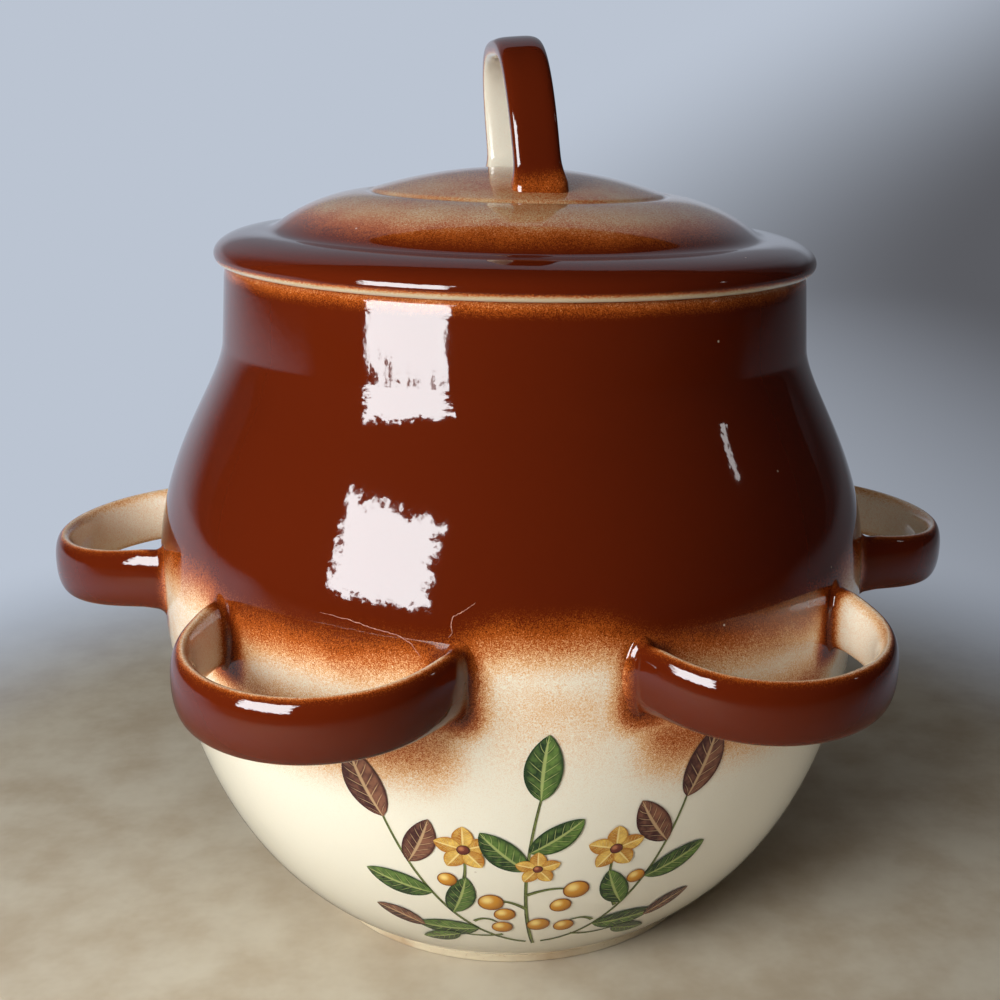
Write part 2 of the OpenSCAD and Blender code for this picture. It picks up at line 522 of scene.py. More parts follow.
def new_group(
    name: str, inputs: dict[str, tuple[str, object]], outputs: dict[str, str]
) -> Nodes:
    """Starts a shader node group with named sockets.

    Args:
        name: The group's name.
        inputs: Socket type and default value by name.
        outputs: Socket type by name.

    Returns:
        The group's nodes; the group input is its first node.
    """
    tree = bpy.data.node_groups.new(name, "ShaderNodeTree")
    for key, (kind, value) in inputs.items():
        socket = tree.interface.new_socket(key, in_out="INPUT", socket_type=kind)
        socket.default_value = (*value, 1.0) if kind == "NodeSocketColor" else value
    for key, kind in outputs.items():
        tree.interface.new_socket(key, in_out="OUTPUT", socket_type=kind)
    return Nodes(tree)


FLOAT, RGB = "NodeSocketFloat", "NodeSocketColor"


def spray_group() -> bpy.types.NodeTree:
    """Builds the spray: brown glaze misted over the cream one.

    Spray is how much brown lies there, 0 to 1. Two fine noises scatter it into
    droplets and their clumps, most where the spray is half thick, and a slow
    one lets it drift. The colour then runs from the base through a tan veil and
    the thin colour to the deep one.

    Returns:
        The node group.
    """
    n = new_group(
        "sprayed_glaze",
        {
            "Spray": (FLOAT, 0.5),
            "Grain": (FLOAT, DROPLET_SCALE),
            "Base": (RGB, CREAM),
            "Tan": (RGB, TAN),
            "Thin": (RGB, THIN_BROWN),
            "Deep": (RGB, DEEP_BROWN),
        },
        {"Colour": RGB},
    )
    clump_size, drift_size = 0.37, 60.0
    drop_strength, clump_strength, drift_strength = 1.1, 0.3, 1.4
    least_spread, half_spread = 0.16, 2.4
    tan_from, tan_to = 0.0, 0.36
    thin_from, thin_to = 0.24, 0.62
    deep_from, deep_to = 0.48, 0.92
    into = n.add("NodeGroupInput").outputs
    fine = n.noise(into["Grain"], 1.0)
    clump = n.noise(n.math("MULTIPLY", into["Grain"], clump_size), 1.0)
    drift = n.noise(drift_size, 3.0, 0.6)
    half = n.math("MULTIPLY", into["Spray"], n.math("SUBTRACT", 1.0, into["Spray"]))
    drops = n.math("ADD", n.sway(fine, drop_strength), n.sway(clump, clump_strength))
    spread = n.math("MULTIPLY_ADD", half, half_spread, least_spread)
    slow = n.math("MULTIPLY", n.sway(drift, drift_strength), half)
    amount = n.math("ADD", n.math("MULTIPLY_ADD", drops, spread, into["Spray"]), slow)
    veil = n.mix(n.step(amount, tan_from, tan_to), into["Base"], into["Tan"])
    cover = n.step(amount, thin_from, thin_to)
    film = n.step(amount, deep_from, deep_to)
    colour = n.mix(film, n.mix(cover, veil, into["Thin"]), into["Deep"])
    n.add("NodeGroupOutput", Colour=colour)
    return n.tree


def surface_group() -> bpy.types.NodeTree:
    """Builds the fired surface: a slow waviness, a fine peel and pinholes.

    A pinhole is the middle of one cell in ten. Where the gloss was smeared in
    the kiln the roughness rises a little.

    Returns:
        The node group: Height for a bump, Holes as a mask, Rough as a
        roughness that varies a little.
    """
    n = new_group(
        "fired_surface",
        {"Wave": (FLOAT, 22.0), "Gloss": (FLOAT, 0.07)},
        {"Height": FLOAT, "Holes": FLOAT, "Rough": FLOAT},
    )
    peel_size, peel_height = 420.0, 0.032
    cell_size, bare_cells, hole_size = 95.0, 0.9, 0.035
    smear_size, smear_strength = 14.0, 0.05
    into = n.add("NodeGroupInput").outputs
    place = n.add("ShaderNodeTexCoord").outputs["Object"]
    wave = n.noise(into["Wave"], 1.0, 0.4)
    peel = n.noise(peel_size, 1.0)
    cells = n.add("ShaderNodeTexVoronoi", Vector=place, Scale=cell_size).outputs
    draw = n.add("ShaderNodeSeparateColor", Color=cells["Color"]).outputs[0]
    rare = n.math("GREATER_THAN", draw, bare_cells)
    near = n.math("LESS_THAN", cells["Distance"], hole_size)
    holes = n.math("MULTIPLY", rare, near)
    smear = n.step(n.noise(smear_size, 4.0, 0.65), 0.5, 0.75)
    height = n.math("ADD", wave, n.math("MULTIPLY", peel, peel_height))
    rough = n.math("MULTIPLY_ADD", smear, smear_strength, into["Gloss"])
    n.add("NodeGroupOutput", Height=height, Holes=holes, Rough=rough)
    return n.tree


@dataclass(frozen=True)
class Glaze:
    """A fired, glossy glaze that reads its piece's spray attribute."""

    name: str
    base: Colour = CREAM
    tan: Colour = TAN
    thin: Colour = THIN_BROWN
    deep: Colour = DEEP_BROWN
    hole: Colour = srgb(206, 190, 170)
    hole_strength: float = 0.7
    grain: float = DROPLET_SCALE
    gloss: float = 0.035
    wave: float = 24.0
    wave_height: float = 0.4
    wave_depth: float = 1.2 * MM

    def build(self) -> bpy.types.Material:
        """Builds the material from the shared groups.

        Returns:
            The material.
        """
        material, n, shader = new_material(self.name)
        spray = n.add("ShaderNodeAttribute", {"attribute_name": "spray"}).outputs["Fac"]
        glaze = n.add(
            "ShaderNodeGroup",
            {"node_tree": bpy.data.node_groups["sprayed_glaze"]},
            Spray=spray,
            Grain=self.grain,
            Base=self.base,
            Tan=self.tan,
            Thin=self.thin,
            Deep=self.deep,
        )
        fired = n.add(
            "ShaderNodeGroup",
            {"node_tree": bpy.data.node_groups["fired_surface"]},
            Wave=self.wave,
            Gloss=self.gloss,
        )
        dots = n.math("MULTIPLY", fired.outputs["Holes"], self.hole_strength)
        holed = n.mix(dots, glaze.outputs["Colour"], self.hole)
        relief = n.add(
            "ShaderNodeBump",
            Height=fired.outputs["Height"],
            Strength=self.wave_height,
            Distance=self.wave_depth,
        )
        shader.inputs["IOR"].default_value = GLAZE_IOR
        link = n.tree.links.new
        link(holed, shader.inputs["Base Color"])
        link(fired.outputs["Rough"], shader.inputs["Roughness"])
        link(relief.outputs["Normal"], shader.inputs["Normal"])
        return material


@dataclass(frozen=True)
class BareClay:
    """Unglazed fired clay: matt, faintly grogged, a little stained."""

    name: str
    colour: Colour = srgb(214, 198, 168)
    stain: Colour = srgb(176, 142, 104)
    roughness: float = 0.72
    grog: float = 700.0
    grog_depth: float = 0.3 * MM
    patches: float = 28.0

    def build(self) -> bpy.types.Material:
        """Builds the material.

        Returns:
            The material.
        """
        material, n, shader = new_material(self.name)
        grain = n.noise(self.grog, 3.0, 0.6)
        patch = n.noise(self.patches, 4.0, 0.6)
        colour = n.mix(n.step(patch, 0.42, 0.72), self.colour, self.stain)
        speck = n.math("MULTIPLY", n.step(grain, 0.6, 0.72), 0.4)
        depth = {"Strength": 0.3, "Distance": self.grog_depth}
        relief = n.add("ShaderNodeBump", Height=grain, **depth)
        link = n.tree.links.new
        link(n.mix(speck, colour, self.stain), shader.inputs["Base Color"])
        link(relief.outputs["Normal"], shader.inputs["Normal"])
        shader.inputs["Roughness"].default_value = self.roughness
        return material


def fired_colour(
    name: str, colour_from: Callable, roughness: float = 0.06
) -> bpy.types.Material:
    """A colour fired on the glaze, as glossy as the glaze if nothing is said.

    Args:
        name: The material's name.
        colour_from: A function from the material's nodes to a colour socket.
        roughness: The shader's roughness.

    Returns:
        The material.
    """
    material, n, shader = new_material(name)
    shader.inputs["IOR"].default_value = GLAZE_IOR
    shader.inputs["Roughness"].default_value = roughness
    n.tree.links.new(colour_from(n), shader.inputs["Base Color"])
    return material


def ink_group() -> bpy.types.NodeTree:
    """Builds the print's leaf pattern on the UV map: u along, v across.

    One half is lighter, the midrib and slanting side veins are drawn in, the
    edge is dark, and the tint drifts as in a fired transfer print.

    Returns:
        The node group.
    """
    inks = {
        "Light": (RGB, srgb(110, 140, 70)),
        "Dark": (RGB, srgb(40, 60, 34)),
        "Vein": (RGB, srgb(170, 180, 110)),
    }
    vein_count, vein_slant, tint_size = 7.0, -1.5, 330.0
    half_strength, tint_strength, gap_strength = 0.45, 0.6, 0.25
    vein_strength, edge_strength = 0.75, 0.85
    n = new_group("printed_leaf", inks, {"Colour": RGB})
    into = n.add("NodeGroupInput").outputs
    u, v, _ = n.coordinates(n.add("ShaderNodeUVMap").outputs[0])
    across = n.math("ABSOLUTE", n.sway(v, 2.0))
    along = n.math("MULTIPLY", u, vein_count)
    slant = n.math("MULTIPLY_ADD", across, vein_slant, along)
    comb = n.math("ABSOLUTE", n.sway(n.math("FRACT", slant), 2.0))
    half = n.math("MULTIPLY", n.step(v, 0.46, 0.54), half_strength)
    tint = n.step(n.noise(tint_size, 3.0, 0.6), 0.3, 0.7)
    drift = n.math("MULTIPLY", tint, tint_strength)
    between = n.math("MULTIPLY", n.step(comb, 0.35, 0.8), gap_strength)
    shade = n.math("ADD", n.math("ADD", half, drift), between)
    body = n.mix(shade, into["Light"], into["Dark"])
    side = n.math("MULTIPLY", n.step(comb, 0.86, 0.97), n.step(across, 0.9, 0.5))
    veins = n.math("MAXIMUM", side, n.step(across, 0.13, 0.05))
    lined = n.mix(n.math("MULTIPLY", veins, vein_strength), body, into["Vein"])
    edge = n.math("MULTIPLY", n.step(across, 0.78, 0.95), edge_strength)
    n.add("NodeGroupOutput", Colour=n.mix(edge, lined, into["Dark"]))
    return n.tree


@dataclass(frozen=True)
class Ink:
    """One colour of the print, for leaves, petals and stems."""

    name: str
    light: Colour
    dark: Colour
    vein: Colour

    def colour(self, n: Nodes) -> bpy.types.NodeSocket:
        """The leaf pattern's colour in this ink.

        Args:
            n: The material's nodes.

        Returns:
            The colour's socket.
        """
        settings = {"node_tree": bpy.data.node_groups["printed_leaf"]}
        inks = {"Light": self.light, "Dark": self.dark, "Vein": self.vein}
        return n.add("ShaderNodeGroup", settings, **inks).outputs["Colour"]

    def build(self) -> bpy.types.Material:
        """Builds the material."""
        return fired_colour(self.name, self.colour)


@dataclass(frozen=True)
class BerryInk:
    """The print's round berries: a bright spot, a body and a dark rim.

    Places are on the UV map, whose middle is the berry's.
    """

    name: str
    spot: Colour
    body: Colour
    rim: Colour
    spot_place: tuple[float, float, float] = (0.36, 0.64, 0.0)
    middle: tuple[float, float, float] = (0.5, 0.5, 0.0)
    shade: float = 0.8

    def colour(self, n: Nodes) -> bpy.types.NodeSocket:
        """The berry's colour: it darkens away from its spot and at its rim.

        Args:
            n: The material's nodes.

        Returns:
            The colour's socket.
        """
        place = n.add("ShaderNodeUVMap").outputs[0]
        away = n.distance(place, self.spot_place)
        out = n.distance(place, self.middle)
        body = n.mix(n.step(away, 0.04, 0.34), self.spot, self.body)
        far_side = n.math("MULTIPLY", n.step(away, 0.3, 0.75), self.shade)
        dark = n.math("MAXIMUM", far_side, n.step(out, 0.41, 0.48))
        return n.mix(dark, body, self.rim)

    def build(self) -> bpy.types.Material:
        """Builds the material."""
        return fired_colour(self.name, self.colour)


def dress(
    piece: bpy.types.Object,
    material: bpy.types.Material,
    body: Body,
    slot: Slot,
    *nodes: str,
) -> None:
    """Gives a piece its material and its body, and reports it.

    Args:
        piece: The piece.
        material: Its finish.
        body: The body it rides on.
        slot: Not used.
        nodes: The frame's nodes it stands for, if any.
    """
    piece.data.materials.append(material)
    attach(piece, body.value)
    if nodes:
        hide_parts(*nodes)
    LOG.info("%s: %d faces on %s", piece.name, len(piece.data.polygons), body.value)


# ---------------------------------------------------------------- the pot


@dataclass(frozen=True)
class StrapSpray:
    """How the brown lies round a strap's section and near its roots.

    Angles are in degrees from the outer face, positive upwards. Near is the
    distance from the wall.
    """

    over_top: Ramp = Ramp(58.0, 106.0)
    under_foot: Ramp = Ramp(66.0, 122.0)
    top_edge: Bell = Bell(0.12, 60.0, 14.0)
    foot_edge: Bell = Bell(0.2, -70.0, 14.0)
    near: Bell = Bell(1.0, 0.0, 6.5)
    root: float = 0.75
    root_inside: float = 0.22
    root_side: Ramp = Ramp(100.0, 150.0)
    inner: float = 0.12
    inner_edge: Bell = Bell(0.2, 112.0, 20.0)


@dataclass
class StrapLoops:
    """The straps round the belly: half ovals whose roots flare on the wall."""

    height: float = 128.5
    tip_radius: float = 165.1
    width: float = 85.5
    leg: float = 0.5
    splay: float = 1.8
    splay_reach: float = 9.0
    droop: float = 3.6
    set_back: float = 5.0
    strap_height: float = 19.5
    strap_thickness: float = 7.0
    root_rise: float = 0.8
    root_rise_reach: float = 12.0
    root_rise_power: float = 1.4
    root_drop: float = 1.0
    root_thickness: float = 7.6
    root_reach: float = 5.0
    sunk: float = 5.0
    fillet: float = 2.4
    outer_fillet: float = 3.0
    fillet_power: float = 1.5
    weld_share: float = 0.98
    glaze_run: float = 3.2
    roundness: Point = (0.95, 0.85)
    pattern: StrapSpray = StrapSpray()
    oval_steps: int = 4000
    rings: int = 190
    sides: int = 56
    names: tuple[str, ...] = (
        "loop_front_right",
        "loop_side_right",
        "loop_back_right",
        "loop_back_left",
        "loop_side_left",
        "loop_front_left",
    )

    def turns(self) -> Array:
        """The loops' angles: even steps, set back where they face the sides.

        Each angle is the even one, e, plus the set-back times sin(e) |sin(e)|.

        Returns:
            The angles of the loops' middles, in the order of their names.
        """
        even = (np.arange(len(self.names)) + 0.5) * 360.0 / len(self.names)
        side = np.sin(np.radians(even))
        return even + self.set_back * side * np.abs(side)

    def root_turn(self, belly_radius: float) -> float:
        """The angle from a loop's middle to the middle of each of its roots."""
        half = (self.width - self.strap_thickness) / 2
        return math.degrees(math.asin(half / belly_radius))

    def line(self, belly_radius: float) -> Array:
        """The strap's middle line: a short leg, half an oval and a short leg.

        Stations crowd together towards the roots: their places along the line
        are half of 1 - cos of an even turn.

        Args:
            belly_radius: The wall's outer radius.

        Returns:
            Points along the wall by outwards from the pot's axis.
        """
        half = (self.width - self.strap_thickness) / 2
        start = math.sqrt((belly_radius - self.sunk) ** 2 - half**2)
        out = belly_radius + self.leg
        reach = self.tip_radius - self.strap_thickness / 2 - out
        turn = np.linspace(0.0, math.pi, self.oval_steps)
        oval = np.stack([half * np.cos(turn), out + reach * np.sin(turn)], 1)
        way = np.vstack([[[half, start]], oval, [[-half, start]]])
        even = np.linspace(0.0, math.pi, self.rings)
        return points_at(way, lengths(way)[-1] * (1 - np.cos(even)) / 2)

    def section(self, line: Array, off: Array, side: Array) -> Array:
        """The way from the middle line to each point of the strap.

        The section is a rounded oblong. Towards the wall it thickens, its top
        rises and its foot drops, each by a part that falls off as an
        exponential of the distance from the wall.

        Args:
            line: The middle line.
            off: Its distance from the wall.
            side: The section's angles, 0 outwards and a quarter turn up.

        Returns:
            Ways by rings, by sides, by 3.
        """
        flare = np.exp(-off / self.root_reach)
        more = self.root_thickness - self.strap_thickness
        thick = self.strap_thickness + more * flare
        rise = np.exp(-((off / self.root_rise_reach) ** self.root_rise_power))
        top = self.strap_height / 2 + self.root_rise * rise
        foot = self.strap_height / 2 + self.root_drop * flare
        run = heading(line)
        s = thick[:, None] / 2 * squared(np.cos(side), self.roundness[0])
        up = squared(np.sin(side), self.roundness[1])
        tall = np.where(up > 0, top[:, None], foot[:, None])
        return np.stack([s * run[:, 1:], s * -run[:, :1], tall * up], -1)

    def build(
        self,
        belly_radius: float,
        wall: Callable,
        coat: Callable,
        turn: float,
        name: str,
    ) -> bpy.types.Object:
        """Sweeps the section along the middle line.

        The line splays at the roots by a bell curve and sinks outwards by the
        droop. weld() rounds the roots into the wall, and there the wall's own
        glaze runs on over the strap, less with a bell curve of the distance.

        Args:
            belly_radius: The wall's largest radius.
            wall: A function from height to the wall's radius.
            coat: A function from radius, height and angle to the wall's spray.
            turn: The loop's angle round the pot.
            name: The piece's name.

        Returns:
            The loop.
        """
        line = self.line(belly_radius)
        off = np.maximum(np.linalg.norm(line, axis=1) - belly_radius, 0.0)
        splay = self.splay * np.exp(-((off / self.splay_reach) ** 2))
        line[:, 0] += np.sign(line[:, 0]) * splay
        out = np.maximum(line[:, 1] - belly_radius, 0.0)
        sink = self.droop * out / (self.tip_radius - belly_radius)
        side = section_angles(self.sides)
        shift = self.section(line, off, side)
        middle = np.column_stack([line, self.height - sink])[:, None, :]
        outer = np.maximum(np.cos(side), 0.0)[None, :, None] ** self.fillet_power
        fillet = self.fillet + (self.outer_fillet - self.fillet) * outer
        u, v, z = np.moveaxis(self.weld(middle + shift, shift, fillet, wall), -1, 0)
        rings = turned(u, -v, z, turn)
        off_wall = np.maximum(np.hypot(u, v) - wall(z), 0.0)
        share = np.exp(-((off_wall / self.glaze_run) ** 2))
        round_pot = np.degrees(np.arctan2(rings[..., 0], -rings[..., 1]))
        on_wall = coat(wall(z), z, round_pot)
        own = self.spray(side, off)
        return skin_tube(name, rings, {"spray": own + (on_wall - own) * share})

    def weld(self, points: Array, shift: Array, fillet: Array, wall: Callable) -> Array:
        """Rounds the strap into the wall with a fillet of radius r.

        A point d off the wall moves r (1 - sqrt(1 - n^2)) along the wall, away
        from the strap's middle line, and stays d off the wall. Here n is
        1 - d / r, at most the weld's share.

        Args:
            points: The strap's points, with a last axis of 3.
            shift: Each point's way from the middle line.
            fillet: The fillet's radius round the section.
            wall: A function from height to the wall's radius.

        Returns:
            The moved points.
        """
        flat = np.linalg.norm(points[..., :2], axis=-1, keepdims=True)
        off = flat - wall(points[..., 2:])
        near = np.clip(1.0 - off / fillet, 0.0, self.weld_share)
        normal = np.concatenate([points[..., :2] / flat, 0 * flat], -1)
        away = shift - (shift * normal).sum(-1, keepdims=True) * normal
        away /= np.maximum(np.linalg.norm(away, axis=-1, keepdims=True), TINY)
        moved = points + fillet * (1.0 - np.sqrt(1.0 - near**2)) * away
        flat = np.linalg.norm(moved[..., :2], axis=-1, keepdims=True)
        moved[..., :2] *= (wall(moved[..., 2:]) + off) / flat
        return moved

    def spray(self, side: Array, off: Array) -> Array:
        """How thick the brown lies on the strap.

        Brown on the outer face, breaking to tan on its edges, cream inside.

        Args:
            side: The section's angles, 0 outwards and a quarter turn up.
            off: Each ring's distance from the wall.

        Returns:
            An array of rings by sides.
        """
        c = self.pattern
        turn = signed(np.degrees(side))
        face = 1.0 - c.over_top.at(turn) - c.under_foot.at(-turn)
        edge = c.top_edge.at(turn) + c.foot_edge.at(turn)
        near = c.near.at(off[:, None])
        root = c.root * near * (1.0 - c.root_side.at(np.abs(turn)))
        root = root + c.root_inside * near
        inner = c.inner + c.inner_edge.at(np.abs(turn))
        return np.clip(np.maximum(np.maximum(face - edge, root), inner), 0.0, 1.0)


@dataclass(frozen=True)
class WallSpray:
    """How the brown lies on the wall.

    Heights and widths are in millimetres. The gap and the sides are in degrees
    from the nearest loop's middle, and the rest are amounts of spray.
    """

    wander_seed: int = 3
    fade_height: float = 131.0
    fade_wander: float = 2.0
    fade_below: float = 18.0
    fade_above: float = 19.0
    gap: Ramp = Ramp(15.0, 26.0)
    gap_rise: float = 6.5
    lid_loss: float = 0.42
    lid_reach: float = 7.0
    belt: float = 0.52
    belt_height: float = 107.0
    belt_wander: float = 1.5
    belt_width: float = 14.0
    belt_loss: float = 0.75
    belt_top: Ramp = Ramp(108.0, 124.0)
    belt_side: Ramp = Ramp(14.0, 24.0)
    root: float = 0.86
    root_drop: float = 1.0
    root_half_width: float = 3.5
    root_half_height: float = 9.0
    root_reach_across: float = 7.0
    root_reach_up: float = 8.0
    mist: Bell = Bell(0.08, 108.0, 24.0)
    gap_mist: Bell = Bell(0.14, 122.0, 15.0)
    gap_mist_side: Ramp = Ramp(18.0, 26.0)
    inside: float = 0.25
    inside_rise: Ramp = Ramp(212.0, 231.0)
    skin: float = 1.6
    foot_seam: float = 0.1


@dataclass
class Pot:
    """The thrown pot with its foot ring, loops and printed front."""

    belly_radius: float = 125.5
    belly_height: float = 127.5
    neck_radius: float = 100.5
    neck_height: float = 206.5
    mouth_radius: float = 92.5
    rim_height: float = 231.5
    base_radius: float = 77.2
    wall: float = 7.0
    floor: float = 8.0
    base_lean: float = 35.3
    base_rise: float = 27.8
    pull_below: float = 48.5
    pull_above: float = 40.0
    neck_pull: float = 16.0
    rim_round: float = 2.0
    neck_lean: float = 1.95
    foot_radius: float = 75.0
    foot_height: float = 5.0
    foot_width: float = 9.5
    foot_flare: float = 1.0
    foot_round: float = 1.2
    pattern: WallSpray = WallSpray()
    loops: StrapLoops = field(default_factory=StrapLoops)

    def outside(self, count: int = 84) -> Array:
        """The wall's outer line, from the foot up to the neck.

        Args:
            count: The number of points below the belly, and above it.

        Returns:
            Points of radius and height.
        """
        base = (self.base_radius, self.foot_height)
        lean = (base[0] + self.base_lean, base[1] + self.base_rise)
        belly = (self.belly_radius, self.belly_height)
        neck = (self.neck_radius, self.neck_height)
        tilt = self.neck_lean * self.neck_pull / (self.rim_height - self.neck_height)
        low = cubic(base, lean, (belly[0], belly[1] - self.pull_below), belly, count)
        over = (belly[0], belly[1] + self.pull_above)
        under_neck = (neck[0] + tilt, neck[1] - self.neck_pull)
        high = cubic(belly, over, under_neck, neck, count)
        return np.vstack([low, high[1:]])

    def radius_at(self, height: Array) -> Array:
        """The wall's outer radius, up to the rim.

        Args:
            height: Heights, of any shape.

        Returns:
            The radii there.
        """
        rim = [self.neck_radius - self.neck_lean, self.rim_height]
        line = np.vstack([self.outside(), rim])
        return np.interp(height, line[:, 1], line[:, 0])

    def profile(self) -> Array:
        """The wall's whole section, from the axis below to the axis inside.

        The inside lies one wall's thickness off the outside, with every third
        of its points, and is rounded into the floor. The neck leans in evenly.

        Returns:
            Points of radius and height.
        """
        outer = self.outside()
        inner = beside(outer, self.wall)[::-3]
        floor_height = self.foot_height + self.floor
        inner = inner[inner[:, 1] > floor_height + self.wall]
        low, before = inner[-1], inner[-2]
        lean = (before[0] - low[0]) / (before[1] - low[1])
        corner = np.array([low[0] - lean * (low[1] - floor_height), floor_height])
        flat = corner - [np.linalg.norm(low - corner), 0.0]
        bowl = cubic(low, (low + 2 * corner) / 3, (flat + 2 * corner) / 3, flat, 14)[1:]
        r = self.rim_round
        rim = self.rim_height - r
        rim_out = arc((self.neck_radius - self.neck_lean - r, rim), r, 0, 90, 9)
        rim_in = arc((self.mouth_radius + r, rim), r, 90, 180, 9)
        neck = np.linspace(self.neck_height, rim, 14)[1:-1, None]
        tall = self.rim_height - self.neck_height
        lean = self.neck_lean * (neck - self.neck_height) / tall
        upright = np.hstack([self.neck_radius - lean, neck])
        widening = np.linspace(inner[0, 0], self.mouth_radius, len(neck))[:, None]
        inside_neck = np.hstack([widening, neck])[::-1]
        under = [[0.0, self.foot_height], [self.base_radius * 0.5, self.foot_height]]
        near_axis = [[flat[0] * 0.5, floor_height], [0.0, floor_height]]
        outside = np.vstack([under, outer, upright, rim_out])
        return np.vstack([outside, rim_in, inside_neck, inner, bowl, near_axis])

    def spray(self, radius: Array, z: Array, angle: Array) -> Array:
        """How thick the brown lies on the wall.

        It falls off downwards at belly height, a little higher up in the gaps
        between loops, and lies again under each loop and round its roots. It
        thins to tan under the lid. The inside and the rim are cream.

        Args:
            radius, z, angle: Places on the wall, as arrays that fit together.

        Returns:
            An array of their common shape.
        """
        c = self.pattern
        turns = self.loops.turns()[:, None, None]
        to_loop = np.abs((angle - turns + 180.0) % 360.0 - 180.0).min(0)
        wander = ripple(angle, c.wander_seed)
        middle = c.fade_height + c.gap_rise * c.gap.at(to_loop) + c.fade_wander * wander
        fade = smooth(z, middle - c.fade_below, middle + c.fade_above)
        under_lid = smooth(z, self.rim_height - c.lid_reach, self.rim_height)
        fade = fade * (1.0 - c.lid_loss * under_lid)
        low = c.belt_height + c.belt_wander * wander
        above = 1.0 - c.belt_loss * c.belt_top.at(z)
        belt = c.belt * np.where(z < low, bump(z, low, c.belt_width), above)
        belt = belt * (1.0 - c.belt_side.at(to_loop))
        from_root = np.abs(to_loop - self.loops.root_turn(self.belly_radius))
        across = from_root * math.radians(self.belly_radius) - c.root_half_width
        up = np.abs(z - self.loops.height + c.root_drop) - c.root_half_height
        across = np.maximum(across, 0.0) / c.root_reach_across
        up = np.maximum(up, 0.0) / c.root_reach_up
        root = c.root * np.exp(-(across**2) - up**2)
        mist = c.mist.at(z) + c.gap_mist.at(z) * c.gap_mist_side.at(to_loop)
        amount = np.maximum(np.maximum(fade, belt), np.maximum(root, mist))
        inner_side = radius < self.radius_at(z) - c.skin
        amount = np.where(inner_side, c.inside * c.inside_rise.at(z), amount)
        return np.where(z < self.foot_height + c.foot_seam, 0.0, amount)

    def build(self, glazes: dict[Slot, bpy.types.Material]) -> None:
        """Builds and dresses the wall, the foot ring and the loops.

        Args:
            glazes: The finishes by slot.
        """
        profile = self.profile()
        r, z = profile[1:-1, :1], profile[1:-1, 1:]
        values = self.spray(r, z, ring_angles()[None, :])
        body = revolve("pot_wall", profile, values)
        dress(body, glazes[Slot.POT], Body.POT, Slot.POT, "pot_body")
        foot = self.build_foot()
        dress(foot, glazes[Slot.BARE], Body.POT, Slot.BARE, "foot_ring")
        wall = (self.belly_radius, self.radius_at, self.spray)
        for name, turn in zip(self.loops.names, self.loops.turns()):
            loop = self.loops.build(*wall, turn, name.replace("loop", "strap"))
            dress(loop, glazes[Slot.LOOP], Body.POT, Slot.LOOP, name)

    def build_foot(self) -> bpy.types.Object:
        """Turns the foot ring: two round standing edges under a flared side.

        Returns:
            The foot ring.
        """
        inner = self.foot_radius - self.foot_width
        r = self.foot_round
        line = np.vstack(
            [
                arc((inner + r, r), r, 180, 270, 8),
                arc((self.foot_radius - r, r), r, 270, 360, 8),
                [[self.foot_radius + self.foot_flare * 0.5, self.foot_height * 0.6]],
                [[self.foot_radius + self.foot_flare, self.foot_height]],
                [[inner, self.foot_height]],
            ]
        )
        return revolve("foot", line)


# ---------------------------------------------------------------- the print


